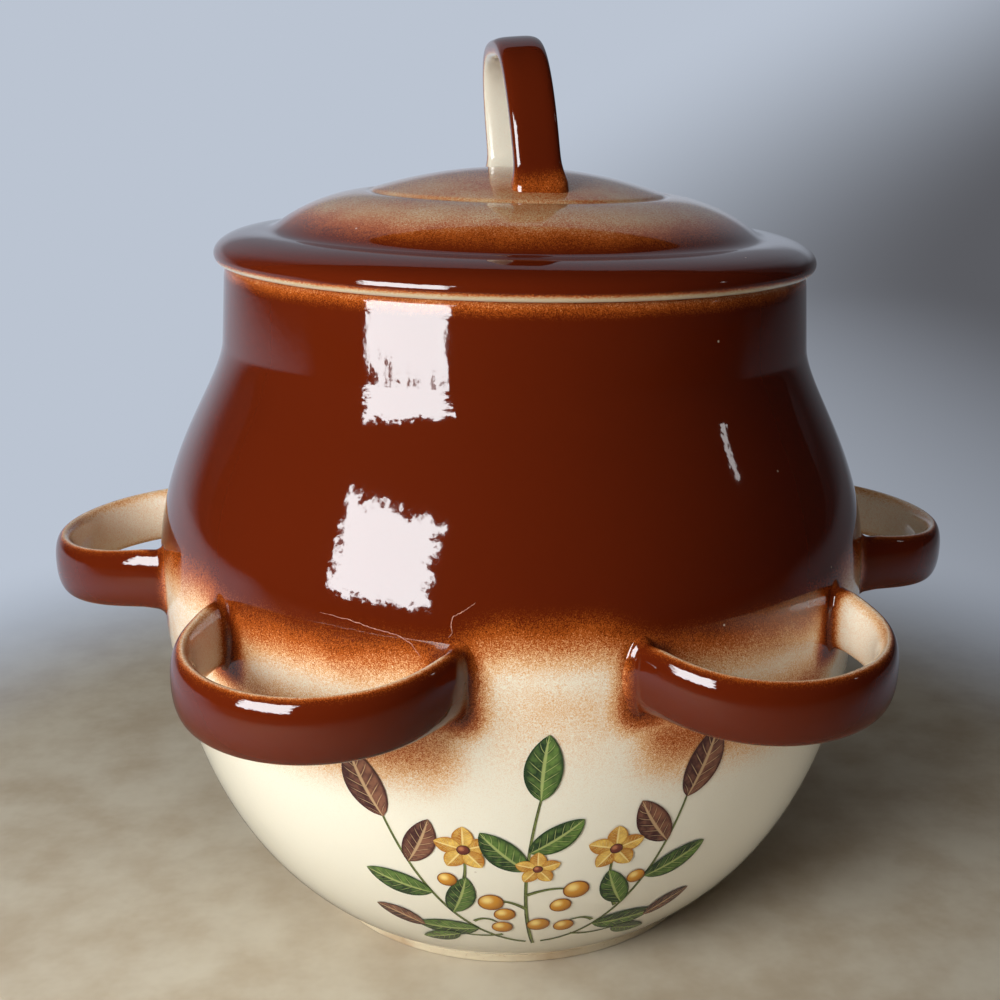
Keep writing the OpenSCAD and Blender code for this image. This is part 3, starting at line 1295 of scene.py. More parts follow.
@dataclass
class FrontPrint:
    """The printed sprigs on the lower front: stems, leaves, flowers, berries.

    Points are given flat: across, to the right of the front, and up, along the
    wall from the print's lower edge. A leaf is its stem's number, its share of
    the way along, its lean from the stem, its length and its side bend. A
    flower is its middle and its petals' length, a berry its middle and radius.
    """

    low: float = 19.0
    radius: float = 118.0
    lift: float = 0.1
    leaf_lift: float = 0.26
    heart_lift: float = 0.5
    layer: float = 0.012
    stem_width: float = 1.5
    stems: tuple[tuple[Point, Point, Point], ...] = (
        ((-5.0, 5.0), (-33.0, 14.0), (-49.0, 70.0)),
        ((1.0, 5.0), (30.0, 10.0), (43.0, 74.0)),
        ((-2.0, 3.0), (-10.0, 40.0), (-2.0, 80.0)),
        ((-14.0, 12.5), (-24.0, 8.0), (-44.0, 16.0)),
        ((12.0, 10.5), (24.0, 5.0), (42.0, 15.0)),
        ((-31.0, 31.0), (-24.0, 44.0), (-25.0, 56.0)),
        ((26.0, 27.0), (20.0, 40.0), (21.0, 53.0)),
        ((-5.5, 30.0), (-12.0, 36.0), (-15.0, 34.0)),
        ((-5.6, 38.0), (2.0, 42.0), (8.0, 40.0)),
        ((-24.0, 22.0), (-20.0, 26.0), (-16.0, 22.0)),
        ((19.0, 19.5), (15.0, 24.0), (10.0, 21.0)),
    )
    green_leaves: tuple[tuple[int, float, float, float, float], ...] = (
        (0, 0.34, 46.0, 20.0, 0.16),
        (0, 0.52, -50.0, 17.0, -0.14),
        (0, 0.66, 44.0, 19.0, 0.16),
        (1, 0.36, -46.0, 21.0, -0.16),
        (1, 0.55, 50.0, 17.0, 0.14),
        (1, 0.7, -42.0, 19.0, -0.16),
        (2, 0.62, 44.0, 18.0, 0.14),
        (2, 0.72, -46.0, 17.0, -0.14),
        (3, 0.62, 34.0, 15.0, 0.1),
        (4, 0.62, -34.0, 15.0, -0.1),
        (2, 0.98, 6.0, 19.0, 0.08),
    )
    plum_leaves: tuple[tuple[int, float, float, float, float], ...] = (
        (0, 0.82, -44.0, 17.0, -0.14),
        (0, 0.99, 4.0, 21.0, 0.12),
        (1, 0.85, 46.0, 18.0, 0.14),
        (1, 0.99, -6.0, 21.0, -0.12),
        (3, 0.98, -8.0, 16.0, -0.12),
        (4, 0.98, 8.0, 16.0, 0.12),
    )
    leaf_width: float = 0.48
    leaf_growth: float = 1.2
    flowers: tuple[tuple[float, float, float], ...] = (
        (-25.0, 59.0, 8.5),
        (21.5, 57.0, 8.5),
        (-2.5, 51.0, 6.5),
    )
    petals: int = 5
    petal_turn: float = 18.0
    petal_foot: float = 0.8
    petal_width: float = 0.78
    heart: float = 0.24
    berries: tuple[tuple[float, float, float], ...] = (
        (-17.5, 34.0, 4.4),
        (-13.0, 27.0, 3.8),
        (10.5, 39.5, 4.4),
        (6.0, 31.5, 3.8),
        (-14.0, 18.5, 3.9),
        (8.5, 18.0, 3.9),
        (-1.0, 20.0, 4.2),
        (-31.0, 45.0, 3.2),
        (30.5, 42.0, 3.2),
    )

    def place(self, line: Array, across: Array, up: Array, lift: Array) -> Array:
        """Lays flat points on the wall.

        The angle is across over the print's radius. Radius and height are the
        wall's after the length up, and the point stands off by the lift.

        Args:
            line: The wall's outer line.
            across, up, lift: Arrays of one shape.

        Returns:
            Points, with a last axis of 3.
        """
        along, run = lengths(line), heading(line)
        way = up + np.interp(self.low, line[:, 1], along)
        r, z, run_r, run_z = (np.interp(way, along, c) for c in (*line.T, *run.T))
        turn, out = across / self.radius, r + lift * run_z
        return np.stack([out * np.sin(turn), -out * np.cos(turn), z - lift * run_r], -1)

    def patches(
        self, name: str, line: Array, flat: tuple[Array, Array], uv: Array, ink: object
    ) -> None:
        """Makes one piece of many small grids laid on the wall.

        Args:
            name: The piece's name.
            line: The wall's outer line.
            flat: Points across and up, each patches by rows by columns.
            uv: The patches' UV map, rows by columns by 2.
            ink: The finish. A berry's grids close on themselves.
        """
        across, up = flat
        count, rows, columns = across.shape
        number = np.arange(count)[:, None, None]
        lift = self.lift + self.layer * number + 0 * across
        points = self.place(line, across, up, lift).reshape(-1, 3)
        faces = grid_faces(rows, columns, False, isinstance(ink, BerryInk))
        faces = (faces[None] + rows * columns * number).reshape(-1, 4)
        layers = {"UVMap": np.tile(uv.reshape(-1, 2), (count, 1))}
        piece = make_mesh(name, points, [faces], layers)
        dress(piece, ink.build(), Body.POT, Slot.PRINT)

    def blades(self, name: str, line: Array, rows: Array, ink: object) -> None:
        """Makes leaves or petals.

        A blade's point is length u ahead of its foot and half its width times
        v f(u) plus its bend times length u (1 - u) aside, where f is u^0.7
        (1 - u)^0.8 scaled to a peak of 1.

        Args:
            name: The piece's name.
            line: The wall's outer line.
            rows: Across, up, heading, length, width and bend of each blade.
            ink: The finish.
        """
        u = np.linspace(0.004, 0.996, 19)[None, :, None]
        v = np.linspace(1.0, -1.0, 9)[None, None, :]
        across, up, turn, length, width, bend = (
            rows[:, i, None, None] for i in range(6)
        )
        full = u**0.7 * (1 - u) ** 0.8
        ahead = length * u + 0 * v
        aside = width / 2 * v * full / full.max() + bend * length * u * (1 - u)
        a = np.radians(turn)
        uv = np.stack(np.broadcast_arrays(u[0], 0.5 + 0.5 * v[0]), -1)
        s = across + ahead * np.cos(a) - aside * np.sin(a)
        t = up + ahead * np.sin(a) + aside * np.cos(a)
        self.patches(name, line, (s, t), uv, ink)

    def stem_points(self, stem: Array, share: Array) -> tuple[Array, Array]:
        """Points on stems: (1 - u)^2 a + 2u (1 - u) b + u^2 c.

        Args:
            stem: The stems' numbers.
            share: The share u of the way along, of the same shape.

        Returns:
            The points, with a last axis of 2, and the stems' headings there.
        """
        a, b, c = np.moveaxis(np.array(self.stems)[stem], -2, 0)
        u = share[..., None]
        way = 2 * (1 - u) * (b - a) + 2 * u * (c - b)
        points = (1 - u) ** 2 * a + 2 * u * (1 - u) * b + u**2 * c
        return points, np.degrees(np.arctan2(way[..., 1], way[..., 0]))

    def leaf_rows(self, leaves: tuple) -> Array:
        """The blades' rows for leaves.

        Args:
            leaves: Stem, share, lean, length and bend of each leaf.

        Returns:
            Rows as blades() takes them.
        """
        data = np.array(leaves)
        foot, turn = self.stem_points(data[:, 0].astype(int), data[:, 1])
        length = data[:, 3] * self.leaf_growth
        sizes = [length, length * self.leaf_width, data[:, 4]]
        return np.column_stack([foot, turn + data[:, 2], *sizes])

    def petal_rows(self) -> Array:
        """The blades' rows for the petals round each flower's middle.

        Returns:
            Rows as blades() takes them.
        """
        data = np.repeat(np.array(self.flowers), self.petals, 0)
        turn = ring_angles(self.petals) + self.petal_turn
        turn = np.tile(turn, len(self.flowers))
        way = np.stack([np.cos(np.radians(turn)), np.sin(np.radians(turn))], 1)
        foot = data[:, :2] + self.petal_foot * way
        sizes = [data[:, 2], data[:, 2] * self.petal_width, 0 * turn]
        return np.column_stack([foot, turn, *sizes])

    def discs(self, name: str, line: Array, rows: Array, ink: object) -> None:
        """Makes round patches.

        Args:
            name: The piece's name.
            line: The wall's outer line.
            rows: Across, up and radius of each disc.
            ink: The finish.
        """
        u = np.linspace(0.02, 1.0, 8)[:, None]
        turn = -np.radians(ring_angles(28))[None, :]
        x, y = u * np.cos(turn), u * np.sin(turn)
        across, up, radius = (rows[:, i, None, None] for i in range(3))
        uv = 0.5 + 0.5 * np.stack([x, y], -1)
        self.patches(name, line, (across + radius * x, up + radius * y), uv, ink)

    def print_stems(self, line: Array) -> None:
        """Prints the stems as ribbons that narrow to half their width.

        Args:
            line: The wall's outer line.
        """
        share = np.linspace(0.0, 1.0, 40)
        across = np.linspace(1.0, -1.0, 5)
        stem = np.arange(len(self.stems))[:, None] + 0 * share[None, :].astype(int)
        points, turn = self.stem_points(stem, share[None, :] + 0.0 * stem)
        a = np.radians(turn)[..., None]
        side = self.stem_width / 2 * (1.0 - 0.5 * share)[None, :, None] * across
        s, t = points[..., :1] - side * np.sin(a), points[..., 1:] + side * np.cos(a)
        v = np.linspace(1.0, 0.0, 5)[None, :]
        uv = np.stack(np.broadcast_arrays(share[:, None] * 0.3, v), -1)
        olive = srgb(120, 132, 70), srgb(62, 66, 34), srgb(150, 156, 96)
        self.patches("print_stems", line, (s, t), uv, Ink("print_stem", *olive))

    def build(self, pot: Pot) -> None:
        """Prints the stems, then leaves, flowers and berries over them.

        Args:
            pot: The pot that is printed.
        """
        line = pot.outside(400)
        self.print_stems(line)
        over = replace(self, lift=self.leaf_lift)
        greens = srgb(104, 132, 62), srgb(34, 56, 32), srgb(176, 184, 112)
        plums = srgb(140, 92, 70), srgb(66, 34, 34), srgb(206, 170, 126)
        golds = srgb(236, 196, 98), srgb(176, 112, 38), srgb(246, 224, 150)
        blades = (
            ("print_green_leaves", self.green_leaves, Ink("print_green", *greens)),
            ("print_plum_leaves", self.plum_leaves, Ink("print_plum", *plums)),
        )
        for name, leaves, ink in blades:
            over.blades(name, line, self.leaf_rows(leaves), ink)
        gold = Ink("print_gold", *golds)
        over.blades("print_petals", line, self.petal_rows(), gold)
        amber = srgb(248, 216, 130), srgb(206, 140, 46), srgb(116, 58, 24)
        berry = BerryInk("print_berry", *amber)
        over.discs("print_berries", line, np.array(self.berries), berry)
        russet = srgb(190, 120, 80), srgb(110, 50, 40), srgb(64, 30, 28)
        heart = BerryInk("print_heart", *russet)
        middles = np.array(self.flowers) * [1.0, 1.0, self.heart]
        top = replace(self, lift=self.heart_lift)
        top.discs("print_hearts", line, middles, heart)


@dataclass
class HairCracks:
    """Hairline cracks in the glaze over the front left loop's inner root.

    A crack's points are an angle round the pot and a height.
    """

    width: float = 0.3
    lift: float = 0.06
    wobble: float = 0.09
    wobble_seed: int = 5
    steps: int = 60
    strap: str = "strap_front_left"
    reach: float = 136.0
    clay: Colour = srgb(178, 112, 84)
    stain: Colour = srgb(134, 66, 40)
    lines: tuple[tuple[Point, ...], ...] = (
        (
            (-31.5, 144.4),
            (-26.8, 143.6),
            (-23.0, 142.1),
            (-20.1, 141.2),
            (-18.3, 139.2),
            (-17.4, 136.6),
            (-16.9, 135.2),
        ),
        (
            (-10.0, 151.6),
            (-11.4, 149.4),
            (-12.9, 147.6),
            (-13.1, 145.4),
            (-12.9, 143.0),
            (-13.4, 141.6),
        ),
    )

    def colour(self, n: Nodes) -> bpy.types.NodeSocket:
        """The crack's colour: clay with a mottled stain."""
        return n.mix(n.step(n.noise(900.0), 0.35, 0.6), self.clay, self.stain)

    def build(self, pot: Pot) -> None:
        """Lays each crack on the wall as a narrow ribbon with a fine wobble.

        Half the width goes with sin(pi u)^0.4, so both ends run out.

        Args:
            pot: The pot that is cracked.
        """
        rng = np.random.default_rng(self.wobble_seed)
        material = fired_colour("crack_edge", self.colour, 0.5)
        even = np.linspace(0.0, 1.0, self.steps)
        for k, line in enumerate(self.lines):
            turn, z = np.array(line).T
            share = np.linspace(0.0, 1.0, len(turn))
            turn, z = np.interp(even, share, turn), np.interp(even, share, z)
            z = z + rng.normal(0.0, self.wobble, self.steps)
            x = np.radians(turn) * pot.belly_radius
            run = heading(np.stack([x, z], 1))
            half = self.width / 2 * np.sin(math.pi * np.clip(even, 0.03, 0.97)) ** 0.4
            side = half[:, None] * np.array([[1.0, -1.0]])
            turn = (x[:, None] - side * run[:, 1:]) / pot.belly_radius
            z = z[:, None] + side * run[:, :1]
            way = np.stack([np.sin(turn), -np.cos(turn)], -1)
            r = np.maximum(pot.radius_at(z), self.strap_radius(way, z)) + self.lift
            points = np.concatenate([r[..., None] * way, z[..., None]], -1)
            faces = [grid_faces(self.steps, 2, False, False)]
            piece = make_mesh(f"hair_crack_{k + 1}", points.reshape(-1, 3), faces, {})
            dress(piece, material, Body.POT, Slot.POT)

    def strap_radius(self, way: Array, height: Array) -> Array:
        """How far out the strap's root stands, by rays cast in at the axis.

        Args:
            way: Directions out from the axis, with a last axis of 2.
            height: Heights of the same shape but for that axis.

        Returns:
            The radii, or 0 where a ray misses the strap.
        """
        strap = bpy.data.objects[self.strap]
        radii = np.zeros(height.size)
        for i, ((x, y), z) in enumerate(zip(way.reshape(-1, 2), height.ravel())):
            far = self.reach * np.array([x, y]) * MM
            hit, place, _, _ = strap.ray_cast((*far, z * MM), (-x, -y, 0.0))
            radii[i] = math.hypot(place[0], place[1]) / MM if hit else 0.0
        return radii.reshape(height.shape)


# ---------------------------------------------------------------- the lid


@dataclass(frozen=True)
class LidSpray:
    """How the brown lies on the lid, by radius, and on its handle.

    The handle's angles are in degrees from its outer face.
    """

    wander_seed: int = 8
    wander_turn: float = 20.0
    shoulder: float = 0.4
    shoulder_more: float = 0.65
    shoulder_from: float = 65.0
    shoulder_to: float = 89.0
    shoulder_wander: float = 2.0
    disc: float = 0.4
    disc_wander: float = 0.06
    disc_ring: Bell = Bell(0.08, 20.0, 14.0)
    disc_edge: float = 1.0
    lip_width: float = 9.0
    lip: Span = (0.5, 3.4)
    under: float = 0.02
    handle_side: Ramp = Ramp(78.0, 116.0)
    handle_edge: Bell = Bell(0.15, 70.0, 14.0)
    handle_root: float = 0.3
    handle_rise: Ramp = Ramp(1.0, 8.0)
    handle_least: float = 0.03


@dataclass
class Lid:
    """The lift-off lid with its locating ring and strap handle."""

    seat: float = 231.5
    radius: float = 101.7
    band: float = 10.7
    step_radius: float = 83.0
    disc_radius: float = 49.5
    disc_height: float = 23.3
    disc_step: float = 0.6
    crown: float = 7.7
    wall: float = 8.0
    seat_width: float = 17.0
    groove_width: float = 1.2
    groove_depth: float = 0.6
    ring_radius: float = 90.3
    ring_depth: float = 12.0
    ring_thickness: float = 6.0
    ring_taper: float = 1.5
    ring_round: float = 1.0
    handle_height: float = 49.6
    handle_length: float = 80.0
    handle_width: float = 14.8
    handle_thickness: float = 6.5
    handle_root_width: float = 18.0
    handle_root_thickness: float = 12.0
    handle_reach: float = 4.5
    handle_turn: float = 3.1
    handle_lean: float = 5.4
    handle_shift: float = 1.7
    handle_sunk: float = 2.5
    arch_square: float = 0.6
    arch_steps: int = 6000
    strap_square: float = 0.55
    soft: float = 1.1
    soft_step: float = 1.4
    under_rows: int = 40
    pattern: LidSpray = LidSpray()

    def dome(self, radius: Array) -> Array:
        """The disc's height: its edge's plus the crown times 1 - (r / R)^2."""
        edge = self.seat + self.disc_height + self.disc_step
        return edge + self.crown * (1.0 - (radius / self.disc_radius) ** 2)

    def profile(self) -> Array:
        """The lid's section, from the axis below, round the rim, to the top.

        Returns:
            Points of radius and height; the first are the underside's rows.
        """
        top = self.seat + self.disc_height
        lip = 0.3 * self.band
        hollow = top + self.disc_step + self.crown - self.wall
        seat_in = self.radius - self.seat_width
        under = cubic(
            (0.0, hollow),
            (0.62 * self.step_radius, hollow),
            (seat_in, self.seat + 0.9 * self.band),
            (seat_in, self.seat),
            self.under_rows,
        )
        edge = arc((self.radius - lip, self.seat + lip), lip, 270, 360, 14)
        widest = (self.radius, self.seat + lip)
        step = (self.step_radius, self.seat + self.band)
        shoulder = (self.disc_radius + self.groove_width, top)
        band = cubic(
            widest,
            (widest[0], widest[1] + 0.45 * self.band),
            (step[0] + 0.55 * (self.radius - self.step_radius), step[1] + 0.5),
            step,
            40,
        )
        wide = self.step_radius - self.disc_radius
        slope = cubic(
            step,
            (step[0] - 5, step[1] + 0.36 * (self.disc_height - self.band)),
            (shoulder[0] + 0.42 * wide, shoulder[1] - 0.5),
            shoulder,
            40,
        )
        dip = np.linspace(0.0, 1.0, 9)[1:-1]
        depth = self.groove_depth + self.disc_step / 2
        sag = top + self.disc_step * dip - depth * np.sin(math.pi * dip)
        groove = np.stack([shoulder[0] - self.groove_width * dip, sag], 1)
        r = self.disc_radius * (1 - np.linspace(0.0, 1.0, 40))
        disc = np.stack([r, self.dome(r)], 1)
        above = self.soften(np.vstack([band, slope[1:], groove, disc]))
        return np.vstack([under, edge[:-1], above])

    def soften(self, line: Array, step: float = 0.5) -> Array:
        """Rounds a line's creases: a bell-curve mean along its even steps.

        The curve is widest round the step and narrow at the grooved ring.

        Args:
            line: The line.
            step: The spacing of the new points.

        Returns:
            The softened line with the same ends.
        """
        end = lengths(line)[-1]
        place = np.linspace(0.0, end, int(end / step))
        even = points_at(line, place)
        at_step = smooth(even[:, 0], self.disc_radius + 9, self.step_radius - 6)
        width = self.soft + self.soft_step * at_step
        reach = np.minimum(width, 0.4 * np.minimum(place, place[-1] - place) + 1e-3)
        apart = (place[:, None] - place[None, :]) / reach[:, None]
        weight = np.exp(-(apart**2))
        return weight @ even / weight.sum(1, keepdims=True)

    def spray(self, profile: Array, angle: Array) -> Array:
        """How thick the brown lies: full on the rim band, thin up the shoulder.

        The disc is misted with tan, more round the handle. The lip and the
        whole underside are cream.

        Args:
            profile: The lid's section, axis points left out.
            angle: Angles round the lid.

        Returns:
            An array of profile points by angles.
        """
        c = self.pattern
        radius, z = profile[:, :1], profile[:, 1:]
        wander = ripple(angle + c.wander_turn, c.wander_seed)[None, :]
        low = c.shoulder_from + c.shoulder_wander * wander
        shoulder = c.shoulder + c.shoulder_more * smooth(radius, low, c.shoulder_to)
        disc = c.disc + c.disc_wander * wander + c.disc_ring.at(radius)
        amount = np.where(radius > self.disc_radius + c.disc_edge, shoulder, disc)
        lip = smooth(z, self.seat + c.lip[0], self.seat + c.lip[1])
        amount = amount * np.where(radius > self.radius - c.lip_width, lip, 1.0)
        under = np.arange(len(profile))[:, None] < self.under_rows
        return np.where(under, c.under, np.clip(amount, 0, 1))

    def build(self, glazes: dict[Slot, bpy.types.Material]) -> None:
        """Builds and dresses the cover, its locating ring and its handle.

        Args:
            glazes: The finishes by slot.
        """
        profile = self.profile()
        cover = revolve("lid", profile, self.spray(profile[1:-1], ring_angles()))
        dress(cover, glazes[Slot.LID], Body.LID, Slot.LID, "lid_cover")
        ring = self.build_ring()
        dress(ring, glazes[Slot.BARE], Body.LID, Slot.BARE, "lid_locating_ring")
        handle = self.build_handle()
        dress(handle, glazes[Slot.HANDLE], Body.LID, Slot.HANDLE, "lid_handle")

    def build_ring(self) -> bpy.types.Object:
        """Turns the locating ring: tapered, with round lower edges.

        Returns:
            The ring.
        """
        low = self.seat - self.ring_depth
        inner = self.ring_radius - self.ring_thickness
        r = self.ring_round
        inset = self.ring_taper + r
        line = np.vstack(
            [
                [[inner, self.seat]],
                arc((inner + inset, low + r), r, 180, 270, 8),
                arc((self.ring_radius - inset, low + r), r, 270, 360, 8),
                [[self.ring_radius, self.seat]],
            ]
        )
        return revolve("locating_ring", line)

    def build_handle(self, rings: int = 140, sides: int = 48) -> bpy.types.Object:
        """Sweeps the strap along an arch: a squared half oval over the disc.

        The middle line is half the length times sgn(cos) |cos|^q along, and
        rises with |sin|^q. Width and thickness flare near the disc by a bell
        curve. The whole then leans, shifts sideways and turns a little.

        Args:
            rings: The number of sections.
            sides: The number of points round a section.

        Returns:
            The handle.
        """
        top = self.seat + self.disc_height
        half = (self.handle_length - self.handle_thickness) / 2
        low = top - self.handle_thickness
        high = top + self.handle_height - self.handle_thickness / 2
        turn = np.linspace(1e-4, math.pi - 1e-4, self.arch_steps)
        across = half * squared(np.cos(turn), self.arch_square)
        rise = low + (high - low) * np.sin(turn) ** self.arch_square
        way = np.stack([across, rise], 1)
        way = way[way[:, 1] > self.dome(way[:, 0]) - self.handle_sunk]
        line = points_at(way, np.linspace(0.0, lengths(way)[-1], rings))
        run = heading(line)
        above = np.maximum(line[:, 1] - self.dome(line[:, 0]), 0.0)
        flare = np.exp(-((above / self.handle_reach) ** 2))
        thicker = self.handle_root_thickness - self.handle_thickness
        wider = self.handle_root_width - self.handle_width
        thick = (self.handle_thickness + thicker * flare)[:, None]
        wide = (self.handle_width + wider * flare)[:, None]
        side = section_angles(sides)
        s = thick / 2 * squared(np.cos(side), self.strap_square)
        w = wide / 2 * squared(np.sin(side), self.strap_square)
        y = line[:, :1] + s * run[:, 1:]
        z = line[:, 1:] + s * -run[:, :1] - top
        lean = math.radians(self.handle_lean)
        x = w * math.cos(lean) - z * math.sin(lean) + self.handle_shift
        z = top + w * math.sin(lean) + z * math.cos(lean)
        points = turned(x, y, z, self.handle_turn)
        return skin_tube("lid_strap", points, {"spray": self.handle_spray(side, above)})

    def handle_spray(self, side: Array, above: Array) -> Array:
        """How thick the brown lies on the handle: thin on its edges and roots.

        Args:
            side: The section's angles.
            above: Each ring's height over the disc.

        Returns:
            An array of rings by sides.
        """
        c = self.pattern
        angle = np.abs(signed(np.degrees(side)))
        face = 1.0 - c.handle_side.at(angle)
        base = 1.0 - c.handle_root * (1.0 - c.handle_rise.at(above))[:, None]
        edge = c.handle_edge.at(angle)
        return np.clip(face * base - edge, c.handle_least, 1.0)


# ---------------------------------------------------------------- the studio


@dataclass
class Camera:
    """The camera at the photograph's viewing angle."""

    place: tuple[float, float, float] = (-38.08, -468.95, 284.61)
    turn: float = 8.215
    pitch: float = 18.342
    roll: float = 1.518
    sensor: float = 36.0
    focal: float = 48.12
    shift: Point = (-0.0962, 0.045)
    clip_start: float = 10.0

    def build(self) -> None:
        """Places the camera: its roll, then its pitch, then its turn."""
        data = bpy.data.cameras.new("camera")
        data.sensor_width = self.sensor
        data.lens = self.focal
        data.shift_x, data.shift_y = self.shift
        data.clip_start = self.clip_start * MM
        camera = bpy.data.objects.new("camera", data)
        camera.location = [v * MM for v in self.place]
        turn = Matrix.Rotation(math.radians(-self.turn), 3, "Z")
        pitch = Matrix.Rotation(math.radians(90 - self.pitch), 3, "X")
        roll = Matrix.Rotation(math.radians(self.roll), 3, "Z")
        camera.rotation_euler = (turn @ pitch @ roll).to_euler()
        bpy.context.scene.collection.objects.link(camera)
        bpy.context.scene.camera = camera


@dataclass
class Backdrop:
    """A pale sandy floor that curves up into a grey-blue wall behind the pot.

    Sizes and places are in metres.
    """

    front: float = -3.0
    back: float = 1.6
    bend: float = 1.0
    wall: Span = (1.2, 4.0)
    half_width: float = 5.0
    columns: int = 12
    roughness: float = 0.9
    far_round: Span = (0.24, 0.46)
    far_back: Span = (-0.35, 0.1)
    past_camera: Span = (-0.9, -0.4)
    shade_to_right: Span = (-0.3, 0.9)
    slope: float = -2.0
    to_sides: Span = (1.0, 3.6)
    to_top: Span = (0.52, 0.85)
    mottle: float = 26.0
    glossy_share: float = 0.5
    wall_left: Colour = srgb(187, 196, 210)
    # painted shade: the darker grey towards the lower right stands for the pot's shadow
    wall_right_shade: Colour = srgb(90, 91, 96)
    wall_side: Colour = srgb(40, 40, 42)
    wall_top: Colour = srgb(60, 62, 66)
    sand_light: Colour = srgb(202, 191, 171)
    sand_dark: Colour = srgb(178, 161, 137)
    floor_past_camera: Colour = srgb(96, 94, 92)
    floor_in_glaze: Colour = srgb(30, 28, 26)

    def build(self) -> None:
        """Lays the floor, the bend and the wall as one sheet."""
        run = np.linspace(self.front, self.back, 24)
        floor = np.stack([run, 0 * run], 1)
        bend = arc((self.back, self.bend), self.bend, -90, 0, 24)[1:]
        depth, height = np.full(8, self.back + self.bend), np.linspace(*self.wall, 8)
        line = np.vstack([floor, bend, np.stack([depth, height], 1)])
        across = np.linspace(-self.half_width, self.half_width, self.columns)
        sheet = np.broadcast_arrays(across[None, :], line[:, :1], line[:, 1:])
        grid = np.stack(sheet, -1).reshape(-1, 3)
        faces = grid_faces(len(line), self.columns, False, False)
        backdrop = make_mesh("backdrop", grid / MM, [faces], {})
        backdrop.data.materials.append(self.finish())

    def wall_colour(self, n: Nodes, place: object) -> bpy.types.NodeSocket:
        """The wall's colour.

        It darkens to the right and with less height, a painted shade that stands
        for the pot's shadow and the dim right side, and again far out at both
        sides and towards the top.

        Args:
            n: The material's nodes.
            place: The point's X, Y and Z.

        Returns:
            The colour's socket.
        """
        # painted shade: darker towards the lower right, for the pot's shadow and the
        # dim right side
        slope = n.math("MULTIPLY_ADD", place[2], self.slope, place[0])
        wall = n.mix(n.step(slope, *self.shade_to_right), self.wall_left, self.wall_right_shade)
        aside = n.math("ABSOLUTE", place[0])
        wall = n.mix(n.step(aside, *self.to_sides), wall, self.wall_side)
        dim = n.mix(0.5, wall, self.wall_top)
        return n.mix(n.step(place[2], *self.to_top), wall, dim)

    def floor_colour(
        self, n: Nodes, place: object, rays: object
    ) -> bpy.types.NodeSocket:
        """The floor's colour: mottled sand, darker past the camera and mirrored.

        Args:
            n: The material's nodes.
            place: The point's X, Y and Z.
            rays: The Light Path node's outputs.

        Returns:
            The colour's socket.
        """
        mottle = n.step(n.noise(self.mottle, 4.0, 0.6), 0.3, 0.75)
        sand = n.mix(mottle, self.sand_light, self.sand_dark)
        nearer = n.step(place[1], *self.past_camera)
        floor = n.mix(nearer, self.floor_past_camera, sand)
        share = n.math("MULTIPLY", rays["Is Glossy Ray"], self.glossy_share)
        return n.mix(share, floor, self.floor_in_glaze)

    def finish(self) -> bpy.types.Material:
        """The sheet's material: sandy round the pot, the wall's colour far off.

        Far from the pot the wall's colour is given to camera, glossy and
        transmission rays as it stands, so no light is spent on it.

        Returns:
            The material.
        """
        material, n, shader = new_material("backdrop")
        shader.inputs["Roughness"].default_value = self.roughness
        place = n.coordinates(n.add("ShaderNodeTexCoord").outputs["Object"])
        squares = [n.math("POWER", place[i], 2.0) for i in (0, 1)]
        radius = n.math("SQRT", n.math("ADD", *squares))
        behind = n.step(place[1], *self.far_back)
        far = n.math("MULTIPLY", n.step(radius, *self.far_round), behind)
        rays = n.add("ShaderNodeLightPath").outputs
        wall = self.wall_colour(n, place)
        colour = n.mix(far, self.floor_colour(n, place, rays), wall)
        mirrored = [rays["Is Glossy Ray"], rays["Is Transmission Ray"]]
        seen = n.math("MAXIMUM", rays["Is Camera Ray"], n.math("MAXIMUM", *mirrored))
        plain = n.add("ShaderNodeEmission", Color=wall, Strength=1.0)
        both = n.add("ShaderNodeMixShader", i0=n.math("MULTIPLY", seen, far))
        link = n.tree.links.new
        link(colour, shader.inputs["Base Color"])
        link(shader.outputs[0], both.inputs[1])
        link(plain.outputs[0], both.inputs[2])
        link(both.outputs[0], n.tree.nodes["Material Output"].inputs["Surface"])
        return material


